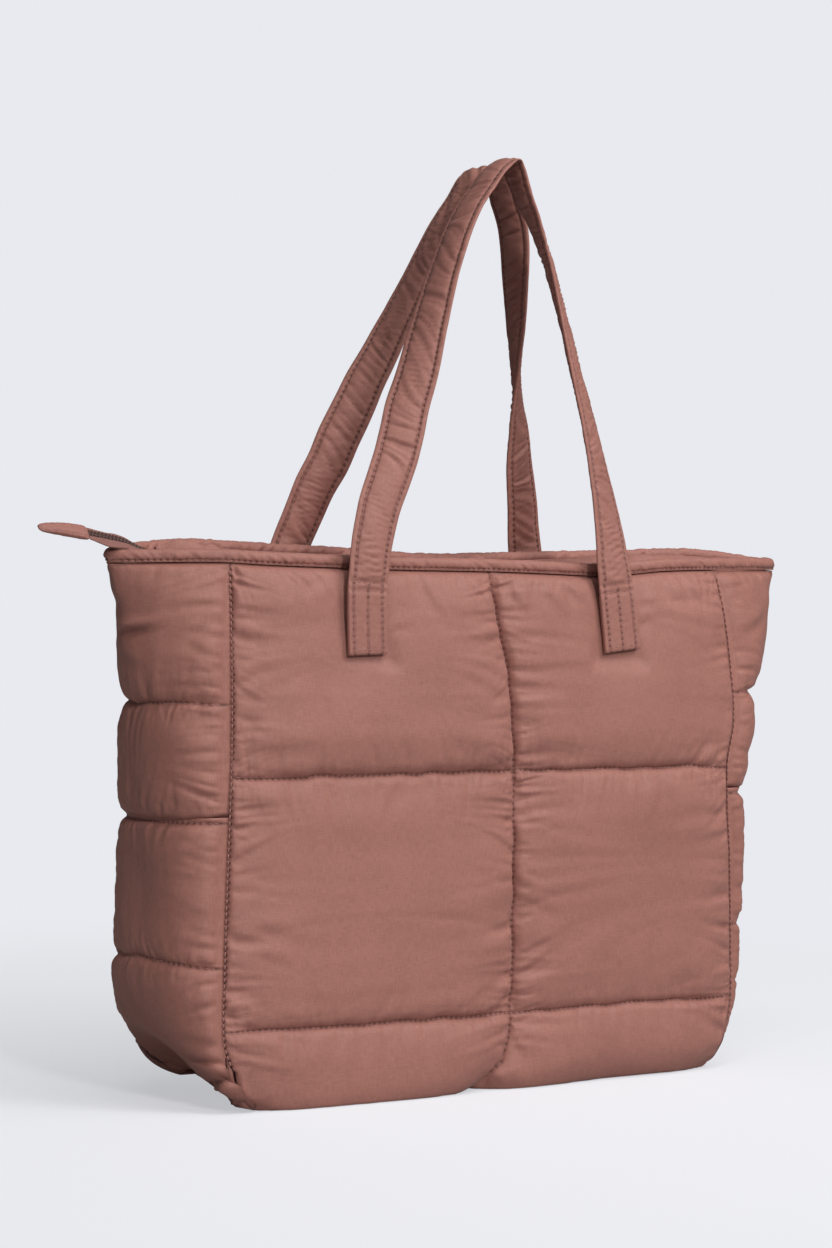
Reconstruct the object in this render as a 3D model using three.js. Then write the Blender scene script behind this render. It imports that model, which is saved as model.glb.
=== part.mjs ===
// Puffer tote bag: a quilted, padded shopper that stands on its base with both
// strap handles drawn up to one point. Millimetres, +Z up, the long side along X,
// the front panel towards -Y. The origin is the middle of the flat base.
//
// The shell is hollow. Front and back panels, two side gussets and a base are
// padded walls that are thin at their sewn lines and swell between them.
// Every curved wall is one closed grid solid: an outer skin, an inner skin and a rim.

import * as THREE from 'three';

// ---------------------------------------------------------------- main sizes
const SEAM_T = 3.0;            // wall thickness where it is sewn through
const GAP = 0.3;               // clearance between neighbouring pieces
const CORNER_GAP = 0.8;        // clearance along the corner seams
const CORNER_GAP_LOW = 2.0;    // the same where the corners turn under
const RIM_GAP = 1.4;           // clearance between the walls and the rim binding
const CURL_R = 24;             // radius of the lower edge, where the panels turn under
const BINDING_H = 8.0;         // height of the rim binding
const BINDING_W = 7.0;         // thickness of the rim binding
const PUFF_FRONT = 9.0;        // how far the panel quilting swells
const PUFF_SIDE = 8.0;         // how far the gusset quilting swells
const PUFF_R = 30;             // distance over which a swell falls to a sewn line
const STRAP_W = 28;            // handle strap width
const STRAP_T = 6.4;           // handle strap thickness at its padded middle
const STRAP_EDGE_T = 2.6;      // handle strap thickness at its stitched edges
const POCKET_T = 1.7;          // side pocket wall where it is sewn through
const BASE_YAW = 3.2;          // degrees that the slack base turns under the rim
const ZIP_W = 5.6;             // width of the closed zip coil
const TAPE_W = 5.0;            // zip tape between the coil and each facing

const Z_RIM = 329;             // mean height of the panels' upper edge
const Z_MID_SEAM = 201;        // quilting line across both panels
const Z_LOW_SEAM = 48.5;       // lower quilting line

// Heights on each side: the gusset's quilting line, the pocket's hemmed edge and
// the pocket's own quilting line. The two sides are sewn a little unevenly.
const SIDES = {
  left: { gussetSeam: 245, pocketTop: 177, pocketSeam: 87 },
  right: { gussetSeam: 249, pocketTop: 186, pocketSeam: 95 },
};

// Distance down the wall, from its upper edge to the end of the turned lower edge.
const V_CURL = Z_RIM - CURL_R;
const V_END = V_CURL + CURL_R * Math.PI / 2;

// ---------------------------------------------------------------- tables
// Plan of the bag at distances v down the wall. ye: half depth at the corner
// seams. xl, xr: distance of the left and right corner seams from the middle.
// gl, gr, zm: how far out and how high the middle of each gusset is. bow: how far
// the panels' middle stands out. xc: the upright centre seam.
const PLAN = [
  { v: 0,     ye: 34,   xl: 186,   xr: 184,   gl: 251.5, gr: 259,   zm: 329, bow: 12,  xc: -4 },
  { v: 32,    ye: 41,   xl: 188.5, xr: 187.5, gl: 241.5, gr: 249.5, zm: 297, bow: 9,   xc: -1 },
  { v: 68,    ye: 45.5, xl: 190,   xr: 190,   gl: 232.5, gr: 231.5, zm: 261, bow: 7.2, xc: 5 },
  { v: 84,    ye: 47,   xl: 190.5, xr: 191,   gl: 229,   gr: 223.5, zm: 245, bow: 6.5, xc: 7 },
  { v: 98,    ye: 48.2, xl: 191,   xr: 190.5, gl: 227,   gr: 219.5, zm: 231, bow: 6,   xc: 8 },
  { v: 128,   ye: 50,   xl: 192.5, xr: 184.5, gl: 225.5, gr: 212,   zm: 201, bow: 5,   xc: 9 },
  { v: 152,   ye: 50,   xl: 194,   xr: 185.5, gl: 226,   gr: 209,   zm: 177, bow: 5,   xc: 9.5 },
  { v: 190,   ye: 50,   xl: 197,   xr: 189.5, gl: 228,   gr: 210,   zm: 139, bow: 5,   xc: 10 },
  { v: 243,   ye: 51,   xl: 202,   xr: 192.5, gl: 231,   gr: 207.5, zm: 86,  bow: 4,   xc: 11 },
  { v: 281,   ye: 52,   xl: 205,   xr: 194,   gl: 222,   gr: 200,   zm: 50,  bow: 3,   xc: 12 },
  { v: 305,   ye: 52.5, xl: 202,   xr: 190,   gl: 206,   gr: 194,   zm: 33,  bow: 3,   xc: 9 },
  { v: 318,   ye: 52.5, xl: 197.5, xr: 185.5, gl: 194.5, gr: 188,   zm: 24,  bow: 3,   xc: 4 },
  { v: 330,   ye: 52.5, xl: 191.5, xr: 180,   gl: 184,   gr: 180.5, zm: 16,  bow: 3,   xc: -2 },
  { v: V_END, ye: 52.5, xl: 184,   xr: 173,   gl: 176,   gr: 172,   zm: 7,   bow: 3,   xc: -2 },
];

// How tight the turned lower edge is at points along the front: 2 is a quarter round,
// larger values stand more squarely on the ground.
const EDGE = [
  { x: -200, n: 5.5 }, { x: -118, n: 5.5 }, { x: -74, n: 4.2 }, { x: -30, n: 2.4 }, { x: -7, n: 2.1 },
  { x: 6, n: 3.6 }, { x: 30, n: 3.6 }, { x: 64, n: 2.8 }, { x: 100, n: 2.3 }, { x: 200, n: 2.3 },
];

// Top of the binding along the front and the rear.
const RIM_FRONT = [
  { x: -262, z: 337 }, { x: -226, z: 338 }, { x: -193, z: 338.6 }, { x: -160, z: 337.3 },
  { x: -110, z: 336.1 }, { x: -70, z: 335.3 }, { x: -4, z: 334.9 }, { x: 47, z: 333.8 },
  { x: 79, z: 332.9 }, { x: 107, z: 334.1 }, { x: 138, z: 336.5 }, { x: 172, z: 337.5 },
  { x: 249, z: 338 }, { x: 262, z: 338 },
];
const RIM_REAR = [
  { x: -262, z: 337 }, { x: -245, z: 339 }, { x: -223, z: 342.1 }, { x: -171, z: 345 },
  { x: -135, z: 343.6 }, { x: -53, z: 340.9 }, { x: 9, z: 337.9 }, { x: 75, z: 339.6 },
  { x: 146, z: 341.9 }, { x: 205, z: 343.8 }, { x: 231, z: 341.6 }, { x: 250, z: 338.8 },
  { x: 262, z: 338 },
];

// Handle centre lines. turn: degrees the strap's width has turned about +Z.
// It lies flat on the panel at both sewn ends and half turned over at the top.
const HANDLE_FRONT = [
  { x: -101.2, y: -58.2, z: 275, turn: 0 },
  { x: -101.8, y: -57.6, z: 296, turn: 0 },
  { x: -101.8, y: -57.2, z: 315, turn: 0 },
  { x: -98.5, y: -55.6, z: 342, turn: -13 },
  { x: -89, y: -51.5, z: 370, turn: -24 },
  { x: -79.5, y: -47.5, z: 394.5, turn: -33 },
  { x: -67.2, y: -42.5, z: 428, turn: -44 },
  { x: -53, y: -37, z: 462, turn: -56 },
  { x: -38, y: -31, z: 496.5, turn: -72 },
  { x: -24.3, y: -26, z: 531, turn: -82 },
  { x: -13.5, y: -23, z: 549, turn: -85 },
  { x: -1.5, y: -20, z: 566.8, turn: -86 },
  { x: 7.5, y: -18, z: 577, turn: -86 },
  { x: 17.5, y: -17, z: 585, turn: -86 },
  { x: 26.5, y: -16.2, z: 590, turn: -86 },
  { x: 29.8, y: -16, z: 585.5, turn: -90 },
  { x: 35.2, y: -16.5, z: 575, turn: -97 },
  { x: 43.6, y: -18.5, z: 556.5, turn: -107 },
  { x: 51.3, y: -21, z: 536, turn: -115 },
  { x: 60, y: -27, z: 501.6, turn: -126 },
  { x: 66.3, y: -33, z: 467.4, turn: -136 },
  { x: 73.3, y: -39, z: 432.8, turn: -141 },
  { x: 79.1, y: -45, z: 398.8, turn: -147 },
  { x: 83, y: -51, z: 364, turn: -159 },
  { x: 84.5, y: -54.8, z: 344, turn: -168 },
  { x: 87, y: -57.2, z: 318, turn: -180 },
  { x: 89.5, y: -57.6, z: 299, turn: -180 },
  { x: 92, y: -58.2, z: 277, turn: -180 },
];
const HANDLE_REAR = [
  { x: -99, y: 57.2, z: 279, turn: 0 },
  { x: -98, y: 57.6, z: 300, turn: 0 },
  { x: -95.5, y: 57.6, z: 321, turn: 0 },
  { x: -87.3, y: 54.5, z: 350, turn: -8 },
  { x: -78, y: 50, z: 373, turn: -16 },
  { x: -68.7, y: 45.5, z: 396, turn: -28 },
  { x: -54, y: 40, z: 430.5, turn: -44 },
  { x: -36.5, y: 35, z: 466, turn: -60 },
  { x: -20.5, y: 30, z: 500, turn: -74 },
  { x: -5, y: 25.5, z: 535, turn: -82 },
  { x: 3.6, y: 22.5, z: 553, turn: -84 },
  { x: 12.2, y: 19.8, z: 570, turn: -85 },
  { x: 19.5, y: 18, z: 580.5, turn: -86 },
  { x: 28, y: 16.6, z: 587.5, turn: -86 },
  { x: 37, y: 16.4, z: 586.5, turn: -84 },
  { x: 45.4, y: 17, z: 578.5, turn: -82 },
  { x: 53, y: 18.5, z: 564.5, turn: -80 },
  { x: 58.8, y: 20.5, z: 539, turn: -80 },
  { x: 61.4, y: 24.5, z: 505, turn: -93 },
  { x: 63.8, y: 28, z: 487, turn: -99 },
  { x: 66.4, y: 31, z: 470, turn: -108 },
  { x: 70, y: 34.5, z: 452, turn: -123 },
  { x: 73.6, y: 38, z: 434.5, turn: -141 },
  { x: 76.5, y: 41, z: 417.7, turn: -154 },
  { x: 79.5, y: 44.5, z: 399.6, turn: -160 },
  { x: 88.3, y: 51.5, z: 364, turn: -169 },
  { x: 93.4, y: 55, z: 347, turn: -173 },
  { x: 98, y: 57.6, z: 321, turn: -180 },
  { x: 99.5, y: 57.6, z: 300, turn: -180 },
  { x: 100, y: 57.2, z: 279, turn: -180 },
];

// Zip centre line from the right end to the fabric tab. tilt: degrees the tapes lean.
const ZIP = [
  { x: 229, y: 0, z: 331.5, tilt: 0, front: 5, back: 5 },
  { x: 180, y: 0, z: 332, tilt: 0, front: 5, back: 5 },
  { x: 0, y: 0, z: 330.5, tilt: 0, front: 5, back: 5 },
  { x: -180, y: 0, z: 332, tilt: 0, front: 5, back: 5 },
  { x: -212, y: 0, z: 333.6, tilt: 8, front: 5, back: 4.4 },
  { x: -229, y: -0.5, z: 338.2, tilt: 24, front: 5.0, back: 2.4 },
  { x: -240, y: -1, z: 342.4, tilt: 38, front: 4.6, back: 1.4 },
  { x: -252, y: -1.5, z: 344.8, tilt: 44, front: 6, back: 1.2 },
  { x: -266, y: -2, z: 347.0, tilt: 46, front: 2.6, back: 1.2 },
];
const TAB = { x0: -266.4, x1: -299, z0: 347.0, z1: 349.9, y: -2, tilt: 46 };

// ---------------------------------------------------------------- helpers
const rad = (d) => d * Math.PI / 180;
const clamp = (t, a, b) => Math.min(b, Math.max(a, t));
const smooth = (t) => { const s = clamp(t, 0, 1); return s * s * (3 - 2 * s); };

// Smooth reading of one column of a table, with no overshoot between rows.
function read(table, key, col, at) {
  const n = table.length;
  const X = (i) => table[i][key];
  const Y = (i) => table[i][col];
  if (at <= X(0)) return Y(0);
  if (at >= X(n - 1)) return Y(n - 1);
  let i = 0;
  while (at > X(i + 1)) i++;
  const slope = (k) => (Y(k + 1) - Y(k)) / (X(k + 1) - X(k));
  const tangent = (k) => {
    if (k === 0) return slope(0);
    if (k === n - 1) return slope(n - 2);
    const a = slope(k - 1);
    const b = slope(k);
    return a * b <= 0 ? 0 : 2 * a * b / (a + b);
  };
  const h = X(i + 1) - X(i);
  const t = (at - X(i)) / h;
  const t2 = t * t;
  const t3 = t2 * t;
  return (2 * t3 - 3 * t2 + 1) * Y(i) + (t3 - 2 * t2 + t) * h * tangent(i)
    + (3 * t2 - 2 * t3) * Y(i + 1) + (t3 - t2) * h * tangent(i + 1);
}
const plan = (col, v) => read(PLAN, 'v', col, v);
const cornerGap = (v) => CORNER_GAP + (CORNER_GAP_LOW - CORNER_GAP) * smooth((v - 290) / 30);

// Swell of the padding at distance d from a sewn line.
const swell = (d, r = PUFF_R) => 1 - Math.pow(1 - clamp(d / r, 0, 1), 2.4);

// Rim height in plan. side is -1 at the front and +1 at the rear.
const rimTop = (x, side) => read(side < 0 ? RIM_FRONT : RIM_REAR, 'x', 'z', x);

// The slack base is turned a little about +Z against the rim.
function turned(p) {
  const a = -rad(BASE_YAW) * smooth(1 - p.z / 230);
  const c = Math.cos(a);
  const s = Math.sin(-a);
  return new THREE.Vector3(p.x * c - p.y * s, p.x * s + p.y * c, p.z);
}

// Closed solid between two grids of points with the same rows and columns.
function shell(name, outer, inner, material) {
  const rows = outer.length;
  const cols = outer[0].length;
  const pos = [];
  for (const grid of [outer, inner]) for (const row of grid) for (const p of row) pos.push(p.x, p.y, p.z);
  const at = (side, i, j) => side * rows * cols + i * cols + j;
  const idx = [];
  const quad = (a, b, c, d) => idx.push(a, b, c, a, c, d);
  for (let i = 0; i < rows - 1; i++) {
    for (let j = 0; j < cols - 1; j++) {
      quad(at(0, i, j), at(0, i + 1, j), at(0, i + 1, j + 1), at(0, i, j + 1));
      quad(at(1, i, j), at(1, i, j + 1), at(1, i + 1, j + 1), at(1, i + 1, j));
    }
  }
  for (let j = 0; j < cols - 1; j++) {
    quad(at(0, 0, j), at(0, 0, j + 1), at(1, 0, j + 1), at(1, 0, j));
    quad(at(0, rows - 1, j + 1), at(0, rows - 1, j), at(1, rows - 1, j), at(1, rows - 1, j + 1));
  }
  for (let i = 0; i < rows - 1; i++) {
    quad(at(0, i + 1, 0), at(0, i, 0), at(1, i, 0), at(1, i + 1, 0));
    quad(at(0, i, cols - 1), at(0, i + 1, cols - 1), at(1, i + 1, cols - 1), at(1, i, cols - 1));
  }
  return solid(name, pos, idx, material);
}

// Closed tube through a list of rings. A loop joins its last ring to its first.
function tube(name, rings, loop, material) {
  const n = rings.length;
  const m = rings[0].length;
  const pos = [];
  for (const ring of rings) for (const p of ring) pos.push(p.x, p.y, p.z);
  const idx = [];
  const last = loop ? n : n - 1;
  for (let i = 0; i < last; i++) {
    const a = i * m;
    const b = ((i + 1) % n) * m;
    for (let j = 0; j < m; j++) {
      const k = (j + 1) % m;
      idx.push(a + j, a + k, b + k, a + j, b + k, b + j);
    }
  }
  if (!loop) {
    for (let j = 1; j < m - 1; j++) {
      idx.push(0, j + 1, j);
      const e = (n - 1) * m;
      idx.push(e, e + j, e + j + 1);
    }
  }
  return solid(name, pos, idx, material);
}

// A mesh whose faces are turned out, whatever way round its grid was listed.
function solid(name, pos, idx, material) {
  let six = 0;
  for (let i = 0; i < idx.length; i += 3) {
    const [a, b, c] = [idx[i] * 3, idx[i + 1] * 3, idx[i + 2] * 3];
    six += pos[a] * (pos[b + 1] * pos[c + 2] - pos[b + 2] * pos[c + 1])
      - pos[a + 1] * (pos[b] * pos[c + 2] - pos[b + 2] * pos[c])
      + pos[a + 2] * (pos[b] * pos[c + 1] - pos[b + 1] * pos[c]);
  }
  if (six < 0) for (let i = 0; i < idx.length; i += 3) [idx[i + 1], idx[i + 2]] = [idx[i + 2], idx[i + 1]];
  const geometry = new THREE.BufferGeometry();
  geometry.setAttribute('position', new THREE.Float32BufferAttribute(pos, 3));
  geometry.setIndex(idx);
  geometry.computeVertexNormals();
  const mesh = new THREE.Mesh(geometry, material);
  mesh.name = name;
  return mesh;
}

// Nylon in the bag's dusty rose, one material for each piece.
const nylon = (hex, roughness = 0.62) => new THREE.MeshStandardMaterial({ color: hex, roughness, metalness: 0 });

// ---------------------------------------------------------------- wall profile
// Height and depth of a corner seam at distance v, with the turned lower edge.
function seamPoint(v, inset = 0, n = 2) {
  const ye = plan('ye', v);
  if (v <= V_CURL) return { y: ye - inset, z: Z_RIM - v };
  const phi = Math.min((v - V_CURL) / CURL_R, Math.PI / 2);
  const c = Math.pow(Math.max(0, Math.cos(phi)), 2 / n);
  const s = Math.pow(Math.sin(phi), 2 / n);
  return { y: ye - CURL_R + CURL_R * c - inset * Math.cos(phi), z: CURL_R - CURL_R * s + inset * Math.sin(phi) + 0.25 };
}

// Distance down the wall of a given height.
const vAt = (z) => Z_RIM - z;

// How much of the rim's own rise and fall a point at distance v follows.
const rimFollow = (v) => 1 - smooth(v / 60);

// ---------------------------------------------------------------- front and back panels
// u runs 0..1 from the left corner seam to the centre seam and 1..2 on to the right one.
function panelPoint(side, u, v, inset, puffed) {
  const xl = -plan('xl', v) + cornerGap(v) / 2;
  const xr = plan('xr', v) - cornerGap(v) / 2;
  const xc = plan('xc', v);
  const x = u <= 1 ? xl + (xc - xl) * u : xc + (xr - xc) * (u - 1);
  const s = clamp(x / (x < 0 ? -xl : xr), -1, 1);
  const seam = seamPoint(v, inset, read(EDGE, 'x', 'n', -side * x));
  const curl = clamp((v - V_CURL) / (V_END - V_CURL), 0, 1);
  const out = plan('bow', v) * (1 - s * s);
  let y = seam.y + out * (1 - curl);
  let z = seam.z;
  if (puffed) {
    const toSide = Math.min(x - xl, xr - x);
    const toCentre = Math.abs(x - xc);
    let p = swell(toSide) * (0.12 + 0.88 * swell(toCentre));
    p *= 0.1 + 0.9 * swell(v, 24);
    p *= 0.08 + 0.92 * swell(Math.abs(v - vAt(Z_MID_SEAM)));
    p *= 0.08 + 0.92 * swell(Math.abs(v - vAt(Z_LOW_SEAM)), 22);
    p *= 0.1 + 0.9 * swell(V_END - v, 24);
    for (const c of STRAP_X[side < 0 ? 'front' : 'rear']) {
      p *= 1 - 0.62 * Math.exp(-Math.pow((x - c) / 24, 2) - Math.pow((v - vAt(292)) / 30, 2));
    }
    const h = PUFF_FRONT * p;
    const phi = v <= V_CURL ? 0 : (v - V_CURL) / CURL_R;
    y += h * Math.cos(phi);
    z -= h * Math.sin(phi);
  }
  const rimDrop = rimTop(x, side) - BINDING_H - RIM_GAP - Z_RIM;
  z += rimDrop * rimFollow(v);
  const p = turned(new THREE.Vector3(x, side * y, z));
  p.z = Math.max(p.z, 0.25);
  return p;
}

const STRAP_X = { front: [-101, 89.5], rear: [-98, 99.5] };   // middles of the sewn strap ends
const PANEL_U = [0, 0.05, 0.14, 0.28, 0.4, 0.53, 0.7, 0.86, 0.96, 1];
const PANEL_V = [0, 8, 24, 42, 74, 104, 119, 128, 137, 153, 190, 235, 264, 275, 280.5, 286,
  296, 305, 314, 324, 334, V_END];

function panel(name, side, material) {
  const us = [...PANEL_U, ...PANEL_U.slice(0, -1).reverse().map((u) => 2 - u)];
  const outer = PANEL_V.map((v) => us.map((u) => panelPoint(side, u, v, 0, true)));
  const inner = PANEL_V.map((v) => us.map((u) => panelPoint(side, u, v, SEAM_T, false)));
  return shell(name, outer, inner, material);
}

// ---------------------------------------------------------------- side gussets and pockets
// t runs -1..1 from the front corner seam round to the rear one. The gusset is a
// sharp V at the rim, where it ends in the bag's tip, and a round bulge below.
function gussetBase(hand, t, v, layer) {
  const x0 = (hand < 0 ? plan('xl', v) : plan('xr', v)) + cornerGap(v) / 2;
  const g = hand < 0 ? plan('gl', v) : plan('gr', v);
  const vee = 1 - (Math.sqrt(t * t + 0.09) - 0.3) / (Math.sqrt(1.09) - 0.3);
  const arc = Math.sqrt(Math.max(0, 1 - Math.pow(Math.abs(t), 2.1)));
  const w = smooth(1 - v / 110);
  const shape = w * vee + (1 - w) * arc;
  // At the middle of the gusset its wall turns under with the same roll.
  const col = hand < 0 ? 'gl' : 'gr';
  const dz = plan('zm', v + 3) - plan('zm', v - 3);
  const dg = plan(col, v + 3) - plan(col, v - 3);
  const len = Math.hypot(dz, dg) || 1;
  const [nx, nz] = v > 250 ? [-dz / len, dg / len] : [1, 0];
  const e = seamPoint(v, layer.edge, read(EDGE, 'x', 'n', hand * (t < 0 ? 1 : -1) * 190));
  const xm = g - layer.middle * nx;
  const zm = plan('zm', v) - layer.middle * nz;
  return new THREE.Vector3(x0 + (xm - x0) * shape, e.y * t, e.z + (zm - e.z) * shape);
}
function gussetPoint(hand, t, v, layer) {
  const p0 = gussetBase(hand, t, v, layer);
  const h = layer.puff(t, v);
  if (h > 0) {
    const clampT = clamp(t, -0.985, 0.985);
    const a = gussetBase(hand, clampT + 0.01, v, layer).sub(gussetBase(hand, clampT - 0.01, v, layer));
    const b = gussetBase(hand, clampT, Math.min(v + 1, V_END), layer).sub(gussetBase(hand, clampT, Math.max(v - 1, 0), layer));
    const n = a.cross(b).normalize();
    if (n.x < 0) n.negate();
    p0.addScaledVector(n, h);
  }
  const side = t < 0 ? -1 : 1;
  p0.z += (rimTop(hand * p0.x, side) - BINDING_H - RIM_GAP - Z_RIM) * rimFollow(v);
  p0.x *= hand;
  const p = turned(p0);
  p.z = Math.max(p.z, 0.25);
  return p;
}

// The tip's folded ridge does not swell.
const ridge = (t, v) => 1 - smooth(1 - v / 96) * Math.exp(-Math.pow(t / 0.4, 2));
const gussetEdge = (t) => swell((1 - Math.abs(t)) * 55, 26);

const gussetLayers = (h) => {
  const top = vAt(h.pocketTop);
  const under = (v) => smooth((v - (top - 9)) / 7);   // 1 where the pocket covers the gusset
  return {
    outer: (v) => ({
      edge: under(v) * (POCKET_T + GAP),
      middle: under(v) * 9.5,
      puff: (t, w) => PUFF_SIDE * (1 - under(w)) * gussetEdge(t) * (0.1 + 0.9 * swell(w, 22)) * ridge(t, w)
        * (0.35 + 0.65 * swell(Math.abs(w - vAt(h.gussetSeam)), 26)) * (0.3 + 0.7 * swell(top - 5 - w, 14)),
    }),
    inner: (v) => ({ edge: SEAM_T + GAP, middle: 6 + under(v) * 7, puff: () => 0 }),
    rows: [0, 8, 22, 46, 68, vAt(h.gussetSeam) - 5, vAt(h.gussetSeam), vAt(h.gussetSeam) + 5, 100,
      (100 + top) / 2 - 5, top - 16, top - 9, top - 2, 175, 215, 255, 286, 305, 318, 332, V_END],
  };
};
const pocketLayers = (h) => {
  const top = vAt(h.pocketTop);
  const seam = vAt(h.pocketSeam);
  return {
    outer: () => ({
      edge: 0,
      middle: 0,
      puff: (t, w) => PUFF_SIDE * gussetEdge(t) * (0.3 + 0.7 * swell(w - top - 4, 22))
        * (0.5 + 0.5 * swell(Math.abs(w - seam), 26)) * (0.12 + 0.88 * swell(V_END - w, 24)),
    }),
    inner: () => ({ edge: POCKET_T, middle: 5.5, puff: () => 0 }),
    rows: [top, top + 5, top + 12, top + 30, seam - 30, seam - 10, seam, seam + 10, 268, 286, 305, 314, 324, 334, V_END],
  };
};

const SIDE_T = [-1, -0.93, -0.8, -0.5, 0, 0.5, 0.8, 0.93, 1];
const TIP_T = [-1, -0.93, -0.8, -0.5, -0.2, 0, 0.2, 0.5, 0.8, 0.93, 1];

function sidePiece(name, hand, ts, layers, material) {
  const outer = layers.rows.map((v) => ts.map((t) => gussetPoint(hand, t, v, layers.outer(v))));
  const inner = layers.rows.map((v) => ts.map((t) => gussetPoint(hand, t, v, layers.inner(v))));
  return shell(name, outer, inner, material);
}

// ---------------------------------------------------------------- base
// A flat padded oval sewn between the turned lower edges. It rests on z = 0.
function base(name, material) {
  const xs = [-175, -120, -40, 80, 130, 168];
  const half = seamPoint(V_END).y - 0.6;
  const at = (x, k, z) => {
    const p = turned(new THREE.Vector3(x, k * half, 0));
    return new THREE.Vector3(p.x, p.y, z);
  };
  const low = xs.map((x) => [-1, 1].map((k) => at(x, k, 0)));
  const high = xs.map((x) => [-1, 1].map((k) => at(x, k, 4.2)));
  return shell(name, low, high, material);
}

// ---------------------------------------------------------------- rim binding
// Plan of the rim: front half from the left tip to the right tip, and back at the rear.
function rimPlan(q) {
  // q 0..1 front, 1..2 rear
  const side = q < 1 ? -1 : 1;
  const k = q < 1 ? q : 2 - q;             // 0 left tip, 1 right tip
  const p = gussetOrPanelRim(k, side);
  return new THREE.Vector3(p.x, p.y, rimTop(p.x, side) - BINDING_H / 2);
}
function gussetOrPanelRim(k, side) {
  const xl = PLAN[0].xl;
  const xr = PLAN[0].xr;
  const a = 0.16;                           // share of the half rim on each gusset
  const mid = SEAM_T / 2;
  if (k < a || k > 1 - a) {
    const hand = k < a ? -1 : 1;
    const t = hand < 0 ? k / a : (1 - k) / a;
    const x0 = hand < 0 ? xl : xr;
    const g = (hand < 0 ? PLAN[0].gl : PLAN[0].gr) - 2.5;
    const vee = 1 - (Math.sqrt(t * t + 0.09) - 0.3) / (Math.sqrt(1.09) - 0.3);
    return { x: hand * (x0 + (g - x0) * vee), y: side * (PLAN[0].ye - mid) * t };
  }
  const x = -xl + (xl + xr) * (k - a) / (1 - 2 * a);
  const s = x / (x < 0 ? xl : xr);
  return { x, y: side * (PLAN[0].ye - mid + PLAN[0].bow * (1 - s * s)) };
}

function binding(name, material) {
  const qs = [];
  const half = [0, 0.012, 0.03, 0.06, 0.11, 0.16, 0.2, 0.25, 0.3, 0.35, 0.4, 0.45, 0.5, 0.55, 0.6,
    0.65, 0.7, 0.75, 0.8, 0.84, 0.89, 0.94, 0.97, 0.988];
  for (const k of half) qs.push(k);
  qs.push(1);
  for (const k of half.slice(1).reverse()) qs.push(2 - k);
  const pts = qs.map(rimPlan);
  const n = pts.length;
  const rings = pts.map((p, i) => {
    const a = pts[(i + n - 1) % n];
    const b = pts[(i + 1) % n];
    const dir = new THREE.Vector3(b.x - a.x, b.y - a.y, 0).normalize();
    const out = new THREE.Vector3(dir.y, -dir.x, 0);
    const ring = [];
    // Rounded section: flat towards the wall below, full and round above.
    for (const [w, h] of [[0.34, -1], [0.47, -0.5], [0.5, 0.2], [0.3, 0.8], [0, 1],
      [-0.3, 0.8], [-0.5, 0.2], [-0.47, -0.5], [-0.34, -1]]) {
      ring.push(p.clone().addScaledVector(out, w * BINDING_W).add(new THREE.Vector3(0, 0, h * BINDING_H / 2)));
    }
    return ring;
  });
  return tube(name, rings, true, material);
}

// ---------------------------------------------------------------- handles
function handle(name, rows, flip, material) {
  const curve = new THREE.CatmullRomCurve3(rows.map((r) => new THREE.Vector3(r.x, r.y, r.z)), false, 'centripetal');
  const rings = [];
  const count = rows.length - 1;
  for (let i = 0; i < count; i++) {
    const bend = rows[i].z > 560;
    const steps = bend ? 2 : (i < 2 || i >= count - 2 ? 1 : 1.5);
    for (let k = 0; k < Math.ceil(steps); k++) {
      if (steps === 1.5 && k === 1 && i % 2) continue;
      rings.push((i + k / Math.ceil(steps)) / count);
    }
  }
  rings.push(1);
  const section = rings.map((s) => {
    const f = s * count;
    const i = Math.min(count - 1, Math.floor(f));
    const turn = rad(rows[i].turn + (rows[i + 1].turn - rows[i].turn) * (f - i));
    const centre = curve.getPoint(s);
    const t = curve.getTangent(s);
    const w = new THREE.Vector3(Math.cos(turn), Math.sin(turn), 0);
    w.addScaledVector(t, -w.dot(t)).normalize();
    const nrm = new THREE.Vector3().crossVectors(w, t).normalize();
    const sewn = Math.min(1, Math.max(0, (centre.z - 312) / 12));
    const thick = 3.0 + (STRAP_T - 3.0) * smooth(sewn);
    const edge = Math.min(STRAP_EDGE_T, thick);
    const ring = [];
    for (const [a, b] of [[-1, -edge], [-0.6, -thick * 0.86], [0, -thick], [0.6, -thick * 0.86], [1, -edge],
      [1, edge], [0.6, thick * 0.86], [0, thick], [-0.6, thick * 0.86], [-1, edge]]) {
      ring.push(centre.clone().addScaledVector(w, a * STRAP_W / 2).addScaledVector(nrm, b / 2));
    }
    return ring;
  });
  return tube(name, section, false, material);
}

// ---------------------------------------------------------------- zip closure
// The two facings bridge the mouth from the binding to the zip, just below the rim.
const facingBump = (side, x) => {
  if (side > 0) return 0;
  const hump = (c, w, h) => h * Math.exp(-Math.pow((x - c) / w, 2));
  return hump(-196, 15, 7.5) + hump(-2, 9, 6) + hump(150, 30, 6);
};
function facing(name, side, material) {
  const xs = [-224, -212, -198, -184, -165, -135, -105, -70, -35, -15, -2, 12, 35, 70, 105, 130, 150, 170, 190, 208, 224];
  const outer = [];
  const inner = [];
  for (const x of xs) {
    const rim = rimY(x) - BINDING_W / 2 - 1.6;
    const y0 = rim;
    const y1 = ZIP_W / 2 + TAPE_W + 0.6;
    const zz = read([...ZIP].reverse(), 'x', 'z', x);
    const zr = rimTop(x, side) - 5.5;
    const row = [];
    const low = [];
    for (const f of [0, 0.25, 0.6, 1]) {
      const y = y0 + (y1 - y0) * f;
      const z = zr + (zz + 0.8 - zr) * f + (facingBump(side, x) + 1.4) * Math.sin(Math.PI * f * 0.93 + 0.07);
      row.push(new THREE.Vector3(x, side * y, z));
      low.push(new THREE.Vector3(x, side * y, z - 1.6));
    }
    outer.push(row);
    inner.push(low);
  }
  return shell(name, outer, inner, material);
}
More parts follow.
